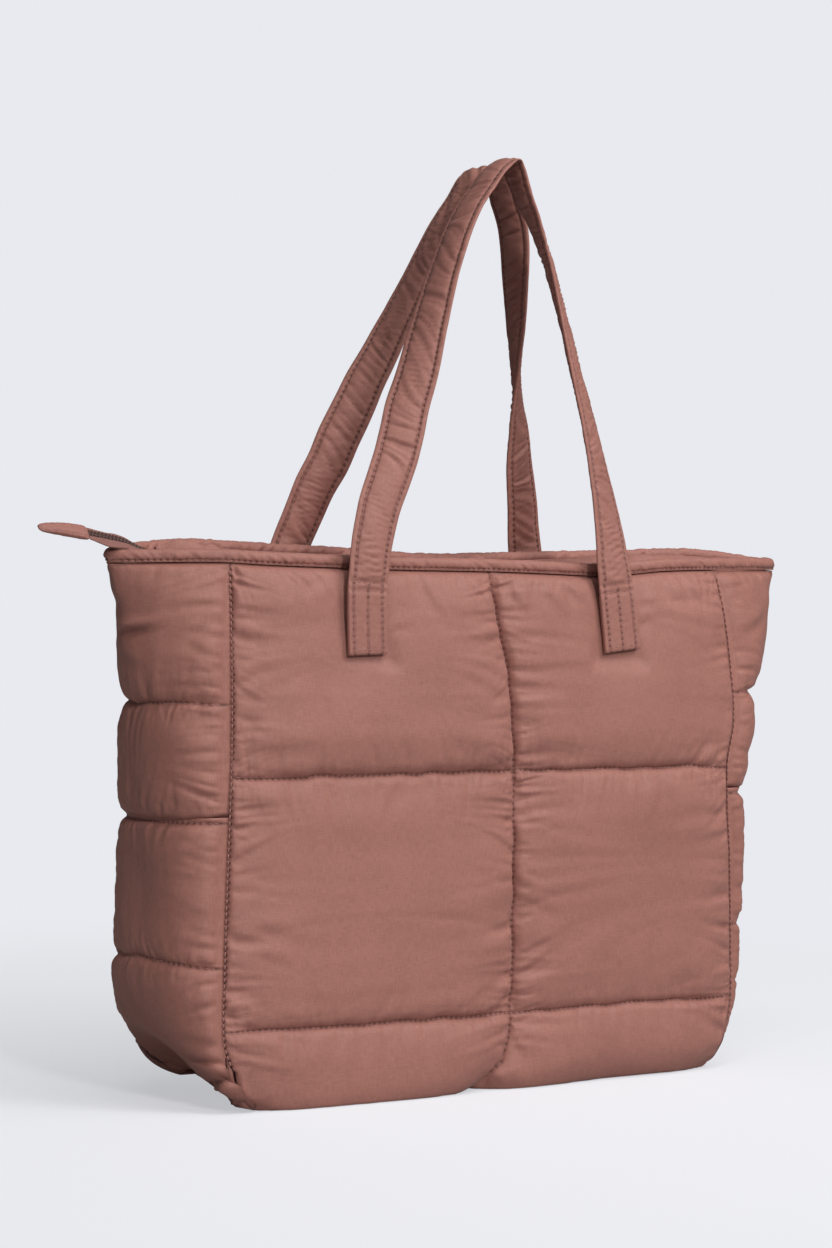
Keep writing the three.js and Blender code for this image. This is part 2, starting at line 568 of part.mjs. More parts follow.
// Half depth of the rim's centre line at x.
function rimY(x) {
  let lo = 0;
  let hi = 1;
  for (let i = 0; i < 40; i++) {
    const m = (lo + hi) / 2;
    if (gussetOrPanelRim(m, 1).x < x) lo = m; else hi = m;
  }
  return gussetOrPanelRim(lo, 1).y;
}

function zipRings(make) {
  const xs = [229, 190, 150, 100, 50, 0, -50, -100, -150, -190, -212, -222, -231, -240, -252, -266];
  const back = [...ZIP].reverse();
  return xs.map((x) => {
    const c = new THREE.Vector3(x, read(back, 'x', 'y', x), read(back, 'x', 'z', x));
    const tilt = rad(read(back, 'x', 'tilt', x));
    // The tapes' near side drops as the tail turns over the tip.
    const w = new THREE.Vector3(0, Math.cos(tilt), Math.sin(tilt));
    const n = new THREE.Vector3(0, -Math.sin(tilt), Math.cos(tilt));
    return make(c, w, n);
  });
}
function tape(name, side, material) {
  const rings = zipRings((c, w, n) => {
    const a = side * (ZIP_W / 2 + GAP);
    const b = side * (ZIP_W / 2 + read([...ZIP].reverse(), 'x', side < 0 ? 'front' : 'back', c.x));
    return [[a, -0.6], [b, -0.6], [b, 0.6], [a, 0.6]].map(([p, q]) => c.clone().addScaledVector(w, p).addScaledVector(n, q));
  });
  return tube(name, rings, false, material);
}
function coil(name, material) {
  const rings = zipRings((c, w, n) => [0, 60, 120, 180, 240, 300].map((d) => c.clone()
    .addScaledVector(w, Math.cos(rad(d)) * (ZIP_W / 2)).addScaledVector(n, Math.sin(rad(d)) * 1.3)));
  return tube(name, rings, false, material);
}
// The folded fabric tab sewn over the end of the zip.
function endTab(name, material) {
  const tilt = rad(TAB.tilt);
  const w = new THREE.Vector3(0, Math.cos(tilt), Math.sin(tilt));
  const n = new THREE.Vector3(0, -Math.sin(tilt), Math.cos(tilt));
  const rings = [[0, 5.6, 2.0], [0.08, 6.6, 3.0], [0.35, 6.6, 3.4], [0.75, 5.6, 3.0], [0.93, 3.8, 2.2], [1, 2.0, 1.2]].map(([f, hw, ht]) => {
    const c = new THREE.Vector3(TAB.x0 + (TAB.x1 - TAB.x0) * f, TAB.y, TAB.z0 + (TAB.z1 - TAB.z0) * f);
    return [0, 45, 90, 135, 180, 225, 270, 315].map((d) => c.clone()
      .addScaledVector(w, Math.cos(rad(d)) * hw).addScaledVector(n, Math.sin(rad(d)) * ht));
  });
  return tube(name, rings, false, material);
}

// ---------------------------------------------------------------- the bag
const bag = new THREE.Group();
bag.name = 'puffer_tote_bag';

const walls = new THREE.Group();
walls.add(panel('front_panel', -1, nylon(0xa3726a)));
walls.add(panel('back_panel', 1, nylon(0x9d6d65)));
walls.add(sidePiece('gusset_left', -1, TIP_T, gussetLayers(SIDES.left), nylon(0x976860)));
walls.add(sidePiece('gusset_right', 1, TIP_T, gussetLayers(SIDES.right), nylon(0x976860)));
walls.add(sidePiece('side_pocket_left', -1, SIDE_T, pocketLayers(SIDES.left), nylon(0xa06f67)));
walls.add(sidePiece('side_pocket_right', 1, SIDE_T, pocketLayers(SIDES.right), nylon(0xa06f67)));
walls.add(base('base_panel', nylon(0x8d6059)));
bag.add(walls);

const top = new THREE.Group();
top.add(binding('rim_binding', nylon(0x9e6c64)));
top.add(facing('zip_facing_front', -1, nylon(0xa06e66)));
top.add(facing('zip_facing_back', 1, nylon(0xa06e66)));
top.add(tape('zip_tape_front', -1, nylon(0x8e5f57, 0.75)));
top.add(tape('zip_tape_back', 1, nylon(0x8e5f57, 0.75)));
top.add(coil('zip_coil', nylon(0x6d4a43, 0.45)));
top.add(endTab('zip_end_tab', nylon(0xa3706a)));
bag.add(top);

const handles = new THREE.Group();
handles.add(handle('handle_front', HANDLE_FRONT, 1, nylon(0xa5736a)));
handles.add(handle('handle_back', HANDLE_REAR, -1, nylon(0x9b6b63)));
bag.add(handles);

export default bag;
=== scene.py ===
# Looks of the puffer tote bag: quilted nylon panels, gussets and pockets, rolled
# rim binding, closed zip with its tail, and two padded straps. Millimetres inside
# the functions, metres in the meshes.
import math
import bpy
import numpy as np
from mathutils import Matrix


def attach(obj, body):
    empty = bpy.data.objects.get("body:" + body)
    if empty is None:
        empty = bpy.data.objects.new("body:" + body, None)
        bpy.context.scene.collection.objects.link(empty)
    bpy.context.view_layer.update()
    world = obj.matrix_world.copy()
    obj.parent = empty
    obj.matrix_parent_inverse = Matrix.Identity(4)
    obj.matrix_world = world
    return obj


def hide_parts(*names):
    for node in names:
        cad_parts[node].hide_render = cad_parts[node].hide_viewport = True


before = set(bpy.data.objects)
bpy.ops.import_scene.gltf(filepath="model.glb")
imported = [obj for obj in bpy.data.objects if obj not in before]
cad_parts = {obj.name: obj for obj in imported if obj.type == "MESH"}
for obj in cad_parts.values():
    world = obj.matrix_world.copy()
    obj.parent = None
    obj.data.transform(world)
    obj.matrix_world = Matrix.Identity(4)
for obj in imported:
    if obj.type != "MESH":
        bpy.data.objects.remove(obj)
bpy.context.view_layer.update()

MM = 0.001
STEP = 1.30                     # mm between the points of a panel's outer skin

# ------------------------------------------------------------------ sizes and tables
SEAM_T, GAP, CORNER_GAP, CORNER_GAP_LOW, RIM_GAP = 3.0, 0.3, 0.5, 1.2, 0.6
CURL_R, BINDING_H, BINDING_W = 24.0, 8.0, 7.0
PUFF_FRONT, PUFF_SIDE = 9.0, 8.0
STRAP_W, POCKET_T, BASE_YAW, ZIP_W = 28.0, 1.7, 3.2, 5.6
Z_RIM, Z_MID, Z_LOW = 329.0, 201.0, 48.5
V_CURL = Z_RIM - CURL_R
V_END = V_CURL + CURL_R * math.pi / 2
V_MID, V_LOW = Z_RIM - Z_MID, Z_RIM - Z_LOW
SIDES = {"left": dict(seam=245, top=177, pocket=87), "right": dict(seam=249, top=186, pocket=95)}

PLAN_COLS = ("v", "ye", "xl", "xr", "gl", "gr", "zm", "bow", "xc")
PLAN = np.array([
    (0, 34, 186, 184, 251.5, 259, 329, 12, -4),
    (32, 41, 188.5, 187.5, 241.5, 249.5, 297, 9, -1),
    (68, 45.5, 190, 190, 232.5, 231.5, 261, 7.2, 5),
    (84, 47, 190.5, 191, 229, 223.5, 245, 6.5, 7),
    (98, 48.2, 191, 190.5, 227, 219.5, 231, 6, 8),
    (128, 50, 192.5, 184.5, 225.5, 212, 201, 5, 9),
    (152, 50, 194, 185.5, 226, 209, 177, 5, 9.5),
    (190, 50, 197, 189.5, 228, 210, 139, 5, 10),
    (243, 51, 202, 192.5, 231, 207.5, 86, 4, 11),
    (281, 52, 205, 194, 222, 200, 50, 3, 12),
    (305, 52.5, 202, 190, 206, 194, 33, 3, 9),
    (318, 52.5, 197.5, 185.5, 194.5, 188, 24, 3, 4),
    (330, 52.5, 191.5, 180, 184, 180.5, 16, 3, -2),
    (V_END, 52.5, 184, 173, 176, 172, 7, 3, -2)])
EDGE = np.array([(-200, 5.5), (-118, 5.5), (-74, 4.2), (-30, 2.4), (-7, 2.1), (6, 3.6), (30, 3.6), (64, 2.8), (100, 2.3), (200, 2.3)])
RIM_FRONT = np.array([(-262, 337), (-226, 338), (-193, 338.6), (-160, 337.3), (-110, 336.1), (-70, 335.3), (-4, 334.9), (47, 333.8),
                      (79, 332.9), (107, 334.1), (138, 336.5), (172, 337.5), (249, 338), (262, 338)])
RIM_REAR = np.array([(-262, 337), (-245, 339), (-223, 342.1), (-171, 345), (-135, 343.6), (-53, 340.9), (9, 337.9), (75, 339.6),
                     (146, 341.9), (205, 343.8), (231, 341.6), (250, 338.8), (262, 338)])
# x, y, z and the turn of the strap's width about +Z in degrees
HANDLE_FRONT = np.array([
    (-101.2, -58.2, 275, 0), (-101.8, -57.6, 296, 0), (-101.8, -57.2, 315, 0), (-98.5, -55.6, 342, -4), (-89, -51.5, 370, -9),
    (-77.8, -47.5, 394.5, -20), (-63.8, -42.5, 428, -38), (-51.2, -37, 462, -56), (-38, -31, 496.5, -72), (-24.3, -26, 531, -82),
    (-13.5, -23, 549, -85), (-1.5, -20, 566.8, -86), (7.5, -18, 577, -86), (17.5, -17, 585, -86), (26.5, -16.2, 590, -86),
    (29.8, -16, 585.5, -90), (35.2, -16.5, 575, -97), (43.6, -18.5, 556.5, -107), (51.3, -21, 536, -115), (60, -27, 501.6, -126),
    (66.3, -33, 467.4, -136), (73.3, -39, 432.8, -141), (79.1, -45, 398.8, -147), (83, -51, 364, -159), (84.5, -54.8, 344, -168),
    (87, -57.2, 318, -180), (89.5, -57.6, 299, -180), (92, -58.2, 277, -180)])
HANDLE_REAR = np.array([
    (-99, 57.2, 279, 0), (-98, 57.6, 300, 0), (-95.5, 57.6, 321, 0), (-87.3, 54.5, 350, -4), (-78, 50, 373, -9), (-68.7, 45.5, 396, -20),
    (-54, 40, 430.5, -40), (-36.5, 35, 466, -59), (-20.5, 30, 500, -74), (-5, 25.5, 535, -82), (3.6, 22.5, 553, -84), (12.2, 19.8, 570, -85),
    (19.5, 18, 580.5, -86), (28, 16.6, 587.5, -86), (37, 16.4, 586.5, -84), (45.4, 17, 578.5, -82), (53, 18.5, 564.5, -80),
    (58.8, 20.5, 539, -80), (61.4, 24.5, 505, -93), (63.8, 28, 487, -99), (66.4, 31, 470, -108), (70, 34.5, 452, -123), (73.6, 38, 434.5, -141),
    (76.5, 41, 417.7, -154), (79.5, 44.5, 399.6, -160), (88.3, 51.5, 364, -169), (93.4, 55, 347, -173), (98, 57.6, 321, -180),
    (99.5, 57.6, 300, -180), (100, 57.2, 279, -180)])
# x, y, z, tilt of the tapes, front and rear tape width beside the coil
ZIP = np.array([
    (-266, -2, 347.0, 46, 2.6, 1.2), (-252, -1.5, 344.8, 44, 6, 1.2), (-240, -1, 342.4, 38, 4.6, 1.4), (-229, -0.5, 338.2, 24, 5.0, 2.4),
    (-212, 0, 333.6, 8, 5, 4.4), (-180, 0, 332, 0, 5, 5), (0, 0, 330.5, 0, 5, 5), (180, 0, 332, 0, 5, 5), (229, 0, 331.5, 0, 5, 5)])
TAB = dict(x0=-266.4, x1=-299.0, z0=347.0, z1=349.9, y=-2.0, tilt=46.0)
STRAP_X = {-1: (-101, 89.5), 1: (-98, 99.5)}
PITCH = 3.9                     # mm from stitch to stitch


# ------------------------------------------------------------------ numbers
def read(X, Y, at):
    """Monotone cubic reading of a table column."""
    X = np.asarray(X, float); Y = np.asarray(Y, float)
    at = np.clip(np.asarray(at, float), X[0], X[-1])
    s = np.diff(Y) / np.diff(X)
    m = np.zeros(len(X)); m[0] = s[0]; m[-1] = s[-1]
    a, b = s[:-1], s[1:]
    ok = a * b > 0
    mid = np.zeros(len(a)); mid[ok] = 2 * a[ok] * b[ok] / (a[ok] + b[ok])
    m[1:-1] = mid
    i = np.clip(np.searchsorted(X, at, side="left") - 1, 0, len(X) - 2)
    h = X[i + 1] - X[i]; t = (at - X[i]) / h; t2 = t * t; t3 = t2 * t
    return (2 * t3 - 3 * t2 + 1) * Y[i] + (t3 - 2 * t2 + t) * h * m[i] + (3 * t2 - 2 * t3) * Y[i + 1] + (t3 - t2) * h * m[i + 1]


def plan(col, v):
    return read(PLAN[:, 0], PLAN[:, PLAN_COLS.index(col)], v)


def smooth(t):
    s = np.clip(t, 0, 1)
    return s * s * (3 - 2 * s)


def swell(d, r=30.0):
    return 1 - np.power(1 - np.clip(d / r, 0, 1), 2.4)


def pillow(d, near=8.0, far=34.0, share=0.42):
    """A tight stitched groove and a gentle crown behind it."""
    return share * swell(d, near) + (1 - share) * swell(d, far)


def grid_noise(shape, sig, seed):
    """Smooth noise on a grid, unit spread. sig: sizes in cells down and across."""
    n = np.random.default_rng(seed).standard_normal(shape)
    fy = np.fft.fftfreq(shape[0])[:, None]; fx = np.fft.rfftfreq(shape[1])[None]
    g = np.exp(-2 * math.pi ** 2 * ((fy * sig[0]) ** 2 + (fx * sig[1]) ** 2))
    o = np.fft.irfft2(np.fft.rfft2(n) * g, s=shape)
    return (o - o.mean()) / (o.std() + 1e-9)


_lines = {}


def line_noise(s, wave, seed):
    """Smooth noise along a line, unit spread, of about that wave length in mm."""
    key = (round(wave, 3), seed)
    if key not in _lines:
        n = np.random.default_rng(seed).standard_normal(4096)
        f = np.fft.rfftfreq(4096)
        g = np.exp(-2 * math.pi ** 2 * (f * (wave / 5.0) / 0.5) ** 2)
        o = np.fft.irfft(np.fft.rfft(n) * g, n=4096)
        _lines[key] = (o - o.mean()) / (o.std() + 1e-9)
    t = np.mod(np.asarray(s, float) / 0.5, 4095)
    return np.interp(t, np.arange(4096), _lines[key])


PUCKERS = ((4.2, 2.8, 0.50), (6.5, 5.5, 0.80), (11, 10, 0.64), (22, 20, 0.42))   # wave length, distance of the crest, height


def puckers(d, s, seed, amp=1.0, reach=1.0, slant=0.25):
    """Gathers that run away from a sewn line. d: signed distance, s: place along it."""
    out = np.zeros(np.broadcast(d, s).shape)
    ad = np.abs(d)
    for k, (wave, crest, high) in enumerate(PUCKERS):
        x = ad / (crest * reach)
        w = x * np.exp(1 - x)
        for side in (-1, 1):
            lean = slant * line_noise(s, 60, seed + 7 * k + side + 900)
            n = line_noise(s + lean * ad, wave, seed + 13 * k + side)
            n2 = line_noise(s + lean * ad, wave * 1.3, seed + 13 * k + side + 400)
            n = 0.65 * n - 0.55 * (np.exp(-(n2 / 0.45) ** 2) - 0.35)
            out += np.where((d > 0) == (side > 0), high * n * w, 0)
    out = amp * out
    return np.where(out > 0, 0.6 * np.tanh(out / 0.6), out)      # low crests, sharp creases


def turned(P):
    a = math.radians(BASE_YAW) * smooth(1 - P[..., 2] / 230)
    c, s = np.cos(a), np.sin(a)
    return np.stack([P[..., 0] * c - P[..., 1] * s, P[..., 0] * s + P[..., 1] * c, P[..., 2]], -1)


def lifted(P):
    """The boxed corner at the left is drawn up off the ground towards the rear."""
    k = smooth((-P[..., 0] - 118) / 62) * smooth((P[..., 1] + 40) / 72) * (1 - smooth(P[..., 2] / 75))
    return np.stack([P[..., 0], P[..., 1], P[..., 2] + 13.5 * k], -1)


def grid_normals(P):
    a = np.gradient(P, axis=0); b = np.gradient(P, axis=1)
    n = np.cross(a, b)
    return n / (np.linalg.norm(n, axis=-1, keepdims=True) + 1e-12)


def warped(n, k=0.45):
    t = np.linspace(0, 1, n + 1)
    return t - k * np.sin(2 * np.pi * t) / (2 * np.pi)


def seam_point(v, inset, n):
    ye = plan("ye", v)
    phi = np.clip((v - V_CURL) / CURL_R, 0, math.pi / 2)
    c = np.power(np.maximum(np.cos(phi), 0), 2 / n)
    s = np.power(np.maximum(np.sin(phi), 0), 2 / n)
    y = ye - CURL_R + CURL_R * c - inset * np.cos(phi)
    z = np.where(v <= V_CURL, Z_RIM - v, CURL_R - CURL_R * s + inset * np.sin(phi) + 0.25)
    y = np.where(v <= V_CURL, ye - inset, y)
    return y, z


def rim_top(x, side):
    front = read(RIM_FRONT[:, 0], RIM_FRONT[:, 1], x)
    rear = read(RIM_REAR[:, 0], RIM_REAR[:, 1], x)
    return np.where(side < 0, front, rear)


def rim_follow(v):
    return 1 - smooth(v / 60)


def corner_gap(v):
    return CORNER_GAP + (CORNER_GAP_LOW - CORNER_GAP) * smooth((v - 290) / 30)


# ------------------------------------------------------------------ meshes
def build(name, V, quads, tris, material, cloth=None, seam=None, flip=None):
    quads = np.asarray(quads, np.int32).reshape(-1, 4)
    tris = np.asarray(tris, np.int32).reshape(-1, 3)
    if flip is None:
        T = np.concatenate([quads[:, :3], quads[:, [0, 2, 3]], tris])
        flip = np.einsum("ij,ij->i", V[T[:, 0]], np.cross(V[T[:, 1]], V[T[:, 2]])).sum() < 0
    if flip:
        quads = quads[:, ::-1]; tris = tris[:, ::-1]
    name = name + "_look"
    me = bpy.data.meshes.new(name)
    me.vertices.add(len(V))
    me.vertices.foreach_set("co", (V * MM).astype(np.float32).ravel())
    loops = np.concatenate([quads.ravel(), tris.ravel()]).astype(np.int32)
    me.loops.add(len(loops)); me.loops.foreach_set("vertex_index", loops)
    starts = np.concatenate([np.arange(len(quads)) * 4, len(quads) * 4 + np.arange(len(tris)) * 3]).astype(np.int32)
    me.polygons.add(len(starts)); me.polygons.foreach_set("loop_start", starts)
    me.update(calc_edges=True)
    me.validate()
    me.polygons.foreach_set("use_smooth", np.ones(len(me.polygons), bool))
    for key, data in (("cloth", cloth), ("seam", seam)):
        if data is None:
            data = np.zeros((len(V), 3)) if key == "cloth" else np.tile([50.0, 0, 0], (len(V), 1))
        at = me.attributes.new(key, "FLOAT_VECTOR", "POINT")
        at.data.foreach_set("vector", np.asarray(data, np.float32).ravel())
    me.materials.append(material)
    ob = bpy.data.objects.new(name, me)
    bpy.context.scene.collection.objects.link(ob)
    return ob


def shell(outer, inner):
    """Closed solid from a fine outer grid and a coarse inner one."""
    R, C = outer.shape[:2]; r, c = inner.shape[:2]
    V = np.concatenate([outer.reshape(-1, 3), inner.reshape(-1, 3)])
    idx = np.arange(R * C).reshape(R, C); jdx = R * C + np.arange(r * c).reshape(r, c)
    q1 = np.stack([idx[:-1, :-1], idx[1:, :-1], idx[1:, 1:], idx[:-1, 1:]], -1).reshape(-1, 4)
    q2 = np.stack([jdx[:-1, :-1], jdx[:-1, 1:], jdx[1:, 1:], jdx[1:, :-1]], -1).reshape(-1, 4)
    tris = []
    for f, g in ((idx[0], jdx[0]), (idx[:, -1], jdx[:, -1]), (idx[-1, ::-1], jdx[-1, ::-1]), (idx[::-1, 0], jdx[::-1, 0])):
        i = j = 0; n = len(f) - 1; m = len(g) - 1
        while i < n or j < m:
            if j >= m or (i < n and (i + 1) / n <= (j + 1) / m + 1e-12):
                tris.append((f[i], f[i + 1], g[j])); i += 1
            else:
                tris.append((f[i], g[j + 1], g[j])); j += 1
    return V, np.concatenate([q1, q2]), np.array(tris)


def tube(rings, loop):
    """Closed tube through rings (n, m, 3). A loop joins the last ring to the first."""
    n, m = rings.shape[:2]
    V = rings.reshape(-1, 3)
    idx = np.arange(n * m).reshape(n, m)
    nxt = np.roll(idx, -1, axis=1)
    if loop:
        a, b, c, d = idx, nxt, np.roll(nxt, -1, axis=0), np.roll(idx, -1, axis=0)
        return V, np.stack([a, b, c, d], -1).reshape(-1, 4), np.zeros((0, 3), int)
    q = np.stack([idx[:-1], nxt[:-1], nxt[1:], idx[1:]], -1).reshape(-1, 4)
    tris = []
    for base, rev in ((0, True), ((n - 1) * m, False)):
        centre = len(V)
        V = np.concatenate([V, V[base:base + m].mean(0, keepdims=True)])
        for j in range(m):
            k = (j + 1) % m
            tris.append((centre, base + k, base + j) if rev else (centre, base + j, base + k))
    return V, q, np.array(tris)


# Stitches are gathered here for each group of sewn lines and built at the end.
THREADS = {}


def sew(group, line, normal, pitch=PITCH, long=2.9, r=0.36, lift=0.12, start=0.6, keep=None):
    """Stitches along a line of points, standing a little out of the cloth."""
    seg = np.linalg.norm(np.diff(line, axis=0), axis=1)
    s = np.concatenate([[0], np.cumsum(seg)])
    n = int((s[-1] - start) // pitch)
    if n < 1:
        return
    rng = np.random.default_rng(len(line) + int(abs(line[0, 0]) * 10))
    a = start + np.arange(n) * pitch + rng.uniform(-0.15, 0.15, n)
    b = a + long + rng.uniform(-0.15, 0.15, n)

    def at(q, arr):
        return np.stack([np.interp(q, s, arr[:, k]) for k in range(3)], -1)
    t = np.array([0, 0.14, 0.5, 0.86, 1.0])
    q = a[:, None] + (b - a)[:, None] * t[None]
    P = at(q, line); N = at(q, normal)
    N /= np.linalg.norm(N, axis=-1, keepdims=True) + 1e-9
    D = at(b, line) - at(a, line)
    D /= np.linalg.norm(D, axis=-1, keepdims=True) + 1e-9
    W = np.cross(D[:, None], N)
    W /= np.linalg.norm(W, axis=-1, keepdims=True) + 1e-9
    bow = lift + 0.34 * np.sin(np.pi * t) - 0.34
    rad = r * np.array([0.45, 0.9, 1.0, 0.9, 0.45])
    ang = np.arange(6) * np.pi / 3
    ring = (P + N * bow[None, :, None])[:, :, None] + (W[:, :, None] * np.cos(ang)[None, None, :, None]
                                                     + N[:, :, None] * np.sin(ang)[None, None, :, None] * 0.8) * rad[None, :, None, None]
    if keep is not None:
        ring = ring[keep(P[:, 2, 2])]
    if len(ring):
        THREADS.setdefault(group, []).append(ring)


def build_threads(material):
    obs = []
    for group, parts in THREADS.items():
        ring = np.concatenate(parts)
        n = len(ring)
        V = ring.reshape(-1, 3)
        base = (np.arange(n) * 30)[:, None]
        q = []; tr = []
        for i in range(4):
            for j in range(6):
                k = (j + 1) % 6
                q.append([i * 6 + j, i * 6 + k, i * 6 + 6 + k, i * 6 + 6 + j])
        for j in range(1, 5):
            tr.append([0, j + 1, j]); tr.append([24, 24 + j, 24 + j + 1])
        quads = (base[:, None] + np.array(q)[None]).reshape(-1, 4)
        tris = (base[:, None] + np.array(tr)[None]).reshape(-1, 3)
        s = np.tile(np.repeat(np.arange(5.0), 6), n)
        cloth = np.stack([s * 0.7, np.repeat(np.arange(n), 30) * 0.37, s * 0], -1)
        ob = build("stitches_" + group, V, quads, tris, material, cloth=cloth)
        obs.append(ob)
    return obs


# ------------------------------------------------------------------ materials
def nodes_of(mat):
    mat.use_nodes = True
    nt = mat.node_tree
    for n in list(nt.nodes):
        nt.nodes.remove(n)
    return nt


def nylon(name, colour, rough=0.6, sheen=0.06, weave=0.4, wrinkle=0.35, dimple_and_shade=1.0, contrast=0.07):
    """Matte heathered nylon. The cloth attribute gives the place on the cloth in mm."""
    mat = bpy.data.materials.new(name)
    nt = nodes_of(mat)
    L = nt.links.new

    def node(kind, **props):
        n = nt.nodes.new(kind)
        for k, v in props.items():
            setattr(n, k, v)
        return n

    def maths(op, a, b=None, c=None):
        n = node("ShaderNodeMath", operation=op)
        for i, x in enumerate((a, b, c)):
            if x is None:
                continue
            if isinstance(x, (int, float)):
                n.inputs[i].default_value = x
            else:
                L(x, n.inputs[i])
        return n.outputs[0]
    out = node("ShaderNodeOutputMaterial")
    bsdf = node("ShaderNodeBsdfPrincipled")
    L(bsdf.outputs[0], out.inputs[0])
    cloth = node("ShaderNodeAttribute", attribute_name="cloth")
    seam = node("ShaderNodeAttribute", attribute_name="seam")
    sep = node("ShaderNodeSeparateXYZ"); L(cloth.outputs["Vector"], sep.inputs[0])
    ses = node("ShaderNodeSeparateXYZ"); L(seam.outputs["Vector"], ses.inputs[0])
    geo = node("ShaderNodeNewGeometry")

    def stretched(sx, sy, detail, rough_=0.6):
        m = node("ShaderNodeMapping"); m.inputs["Scale"].default_value = (sx, sy, 1)
        L(cloth.outputs["Vector"], m.inputs["Vector"])
        t = node("ShaderNodeTexNoise"); t.inputs["Scale"].default_value = 1.0
        t.inputs["Detail"].default_value = detail; t.inputs["Roughness"].default_value = rough_
        L(m.outputs[0], t.inputs["Vector"])
        return t.outputs["Fac"]
    warp = stretched(2.2, 0.16, 2.0)      # threads that run down the cloth
    weft = stretched(0.15, 2.4, 2.0)      # threads that run across it
    cloud = stretched(0.02, 0.02, 3.0)
    mottle = stretched(0.35, 0.35, 2.0)
    tone = maths("ADD", maths("MULTIPLY", maths("SUBTRACT", warp, 0.5), 1.25), maths("MULTIPLY", maths("SUBTRACT", weft, 0.5), 1.1))
    tone = maths("ADD", tone, maths("MULTIPLY", maths("SUBTRACT", cloud, 0.5), 0.5))
    tone = maths("ADD", tone, maths("MULTIPLY", maths("SUBTRACT", mottle, 0.5), 0.35))
    fac = maths("ADD", maths("MULTIPLY", tone, 1.4), 0.5)
    ramp = node("ShaderNodeValToRGB")
    c = np.array(colour)
    lo = c * (1 - contrast * 2.0); hi = np.minimum(c * (1 + contrast * 1.9) + 0.004, 1)
    ramp.color_ramp.elements[0].position = 0.0; ramp.color_ramp.elements[0].color = (*lo, 1)
    ramp.color_ramp.elements[1].position = 1.0; ramp.color_ramp.elements[1].color = (*hi, 1)
    L(fac, ramp.inputs[0])
    # Along sewn lines and marked folds the colour is darker: partly the needle holes, partly painted shade of the
    # groove and the fold.
    d2 = maths("MULTIPLY", maths("DIVIDE", ses.outputs[0], 0.95), maths("DIVIDE", ses.outputs[0], 0.95))
    near = maths("EXPONENT", maths("MULTIPLY", d2, -1.0))
    beat = maths("ADD", maths("MULTIPLY", maths("COSINE", maths("MULTIPLY", ses.outputs[1], 2 * math.pi / PITCH)), 0.5), 0.5)
    # hole: the needle holes and, with them, the painted shade along the line; it also drives the dent in the bump
    # below.
    hole = maths("MULTIPLY", maths("MULTIPLY", near, maths("ADD", maths("MULTIPLY", maths("POWER", beat, 2.0), 0.60), 0.40)), ses.outputs[2])
    seam_shade = node("ShaderNodeMix", data_type="RGBA", blend_type="MULTIPLY")
    seam_shade.inputs["B"].default_value = (0.34, 0.29, 0.29, 1)
    L(maths("MULTIPLY", hole, 0.95 * dimple_and_shade), seam_shade.inputs["Factor"])
    L(ramp.outputs[0], seam_shade.inputs["A"])
    # Convex edges and crests are drawn a little lighter, by pointiness.
    crests_lighter = node("ShaderNodeMix", data_type="RGBA", blend_type="MIX")
    crests_lighter.inputs["B"].default_value = (*np.minimum(c * 1.25 + 0.01, 1), 1)
    point = maths("MULTIPLY", maths("SUBTRACT", geo.outputs["Pointiness"], 0.515), 4.0)
    clampn = node("ShaderNodeClamp"); clampn.inputs["Max"].default_value = 0.25
    L(point, clampn.inputs["Value"]); L(clampn.outputs[0], crests_lighter.inputs["Factor"])
    L(seam_shade.outputs["Result"], crests_lighter.inputs["A"])
    L(crests_lighter.outputs["Result"], bsdf.inputs["Base Color"])
    bsdf.inputs["Roughness"].default_value = rough
    bsdf.inputs["Specular IOR Level"].default_value = 0.32
    bsdf.inputs["Sheen Weight"].default_value = sheen
    bsdf.inputs["Sheen Roughness"].default_value = 0.45
    bsdf.inputs["Sheen Tint"].default_value = (1.0, 0.86, 0.82, 1)
    # Plain weave of half a millimetre, fine crinkles, and the stitch dimples.
    wx = maths("SINE", maths("MULTIPLY", sep.outputs[0], 2 * math.pi / 0.62))
    wy = maths("SINE", maths("MULTIPLY", sep.outputs[1], 2 * math.pi / 0.62))
    woven = maths("MULTIPLY", maths("MULTIPLY", wx, wy), 0.02 * weave)
    slub = maths("MULTIPLY", maths("ADD", warp, weft), 0.03 * weave)
    crinkle = maths("MULTIPLY", stretched(0.13, 0.13, 3.0, 0.5), wrinkle)
    high = maths("ADD", maths("ADD", woven, slub), crinkle)
    high = maths("SUBTRACT", high, maths("MULTIPLY", hole, 0.55 * dimple_and_shade))
    bump = node("ShaderNodeBump"); bump.inputs["Strength"].default_value = 0.9
    bump.inputs["Distance"].default_value = 0.001
    L(high, bump.inputs["Height"]); L(bump.outputs[0], bsdf.inputs["Normal"])
    return mat


ROSE = (0.338, 0.147, 0.119)
M_SHELL = nylon("nylon_shell", ROSE)
# The sides and the trim are the shell's nylon drawn a little darker, as painted shade.
M_SIDE = nylon("nylon_side", (0.326, 0.140, 0.112))
M_TRIM = nylon("nylon_trim", (0.330, 0.143, 0.116), wrinkle=0.4)
M_STRAP = nylon("nylon_strap", (0.338, 0.147, 0.119), wrinkle=0.45)
M_TAPE = nylon("zip_tape_weave", (0.25, 0.112, 0.096), rough=0.75, sheen=0.1, weave=1.6, wrinkle=0.1, dimple_and_shade=0.0)
M_COIL = nylon("zip_coil_nylon", (0.10, 0.052, 0.045), rough=0.38, sheen=0.0, weave=0.1, wrinkle=0.05, dimple_and_shade=0.0, contrast=0.05)
M_THREAD = nylon("sewing_thread", (0.30, 0.135, 0.117), rough=0.6, sheen=0.1, weave=0.6, wrinkle=0.1, dimple_and_shade=0.0, contrast=0.06)


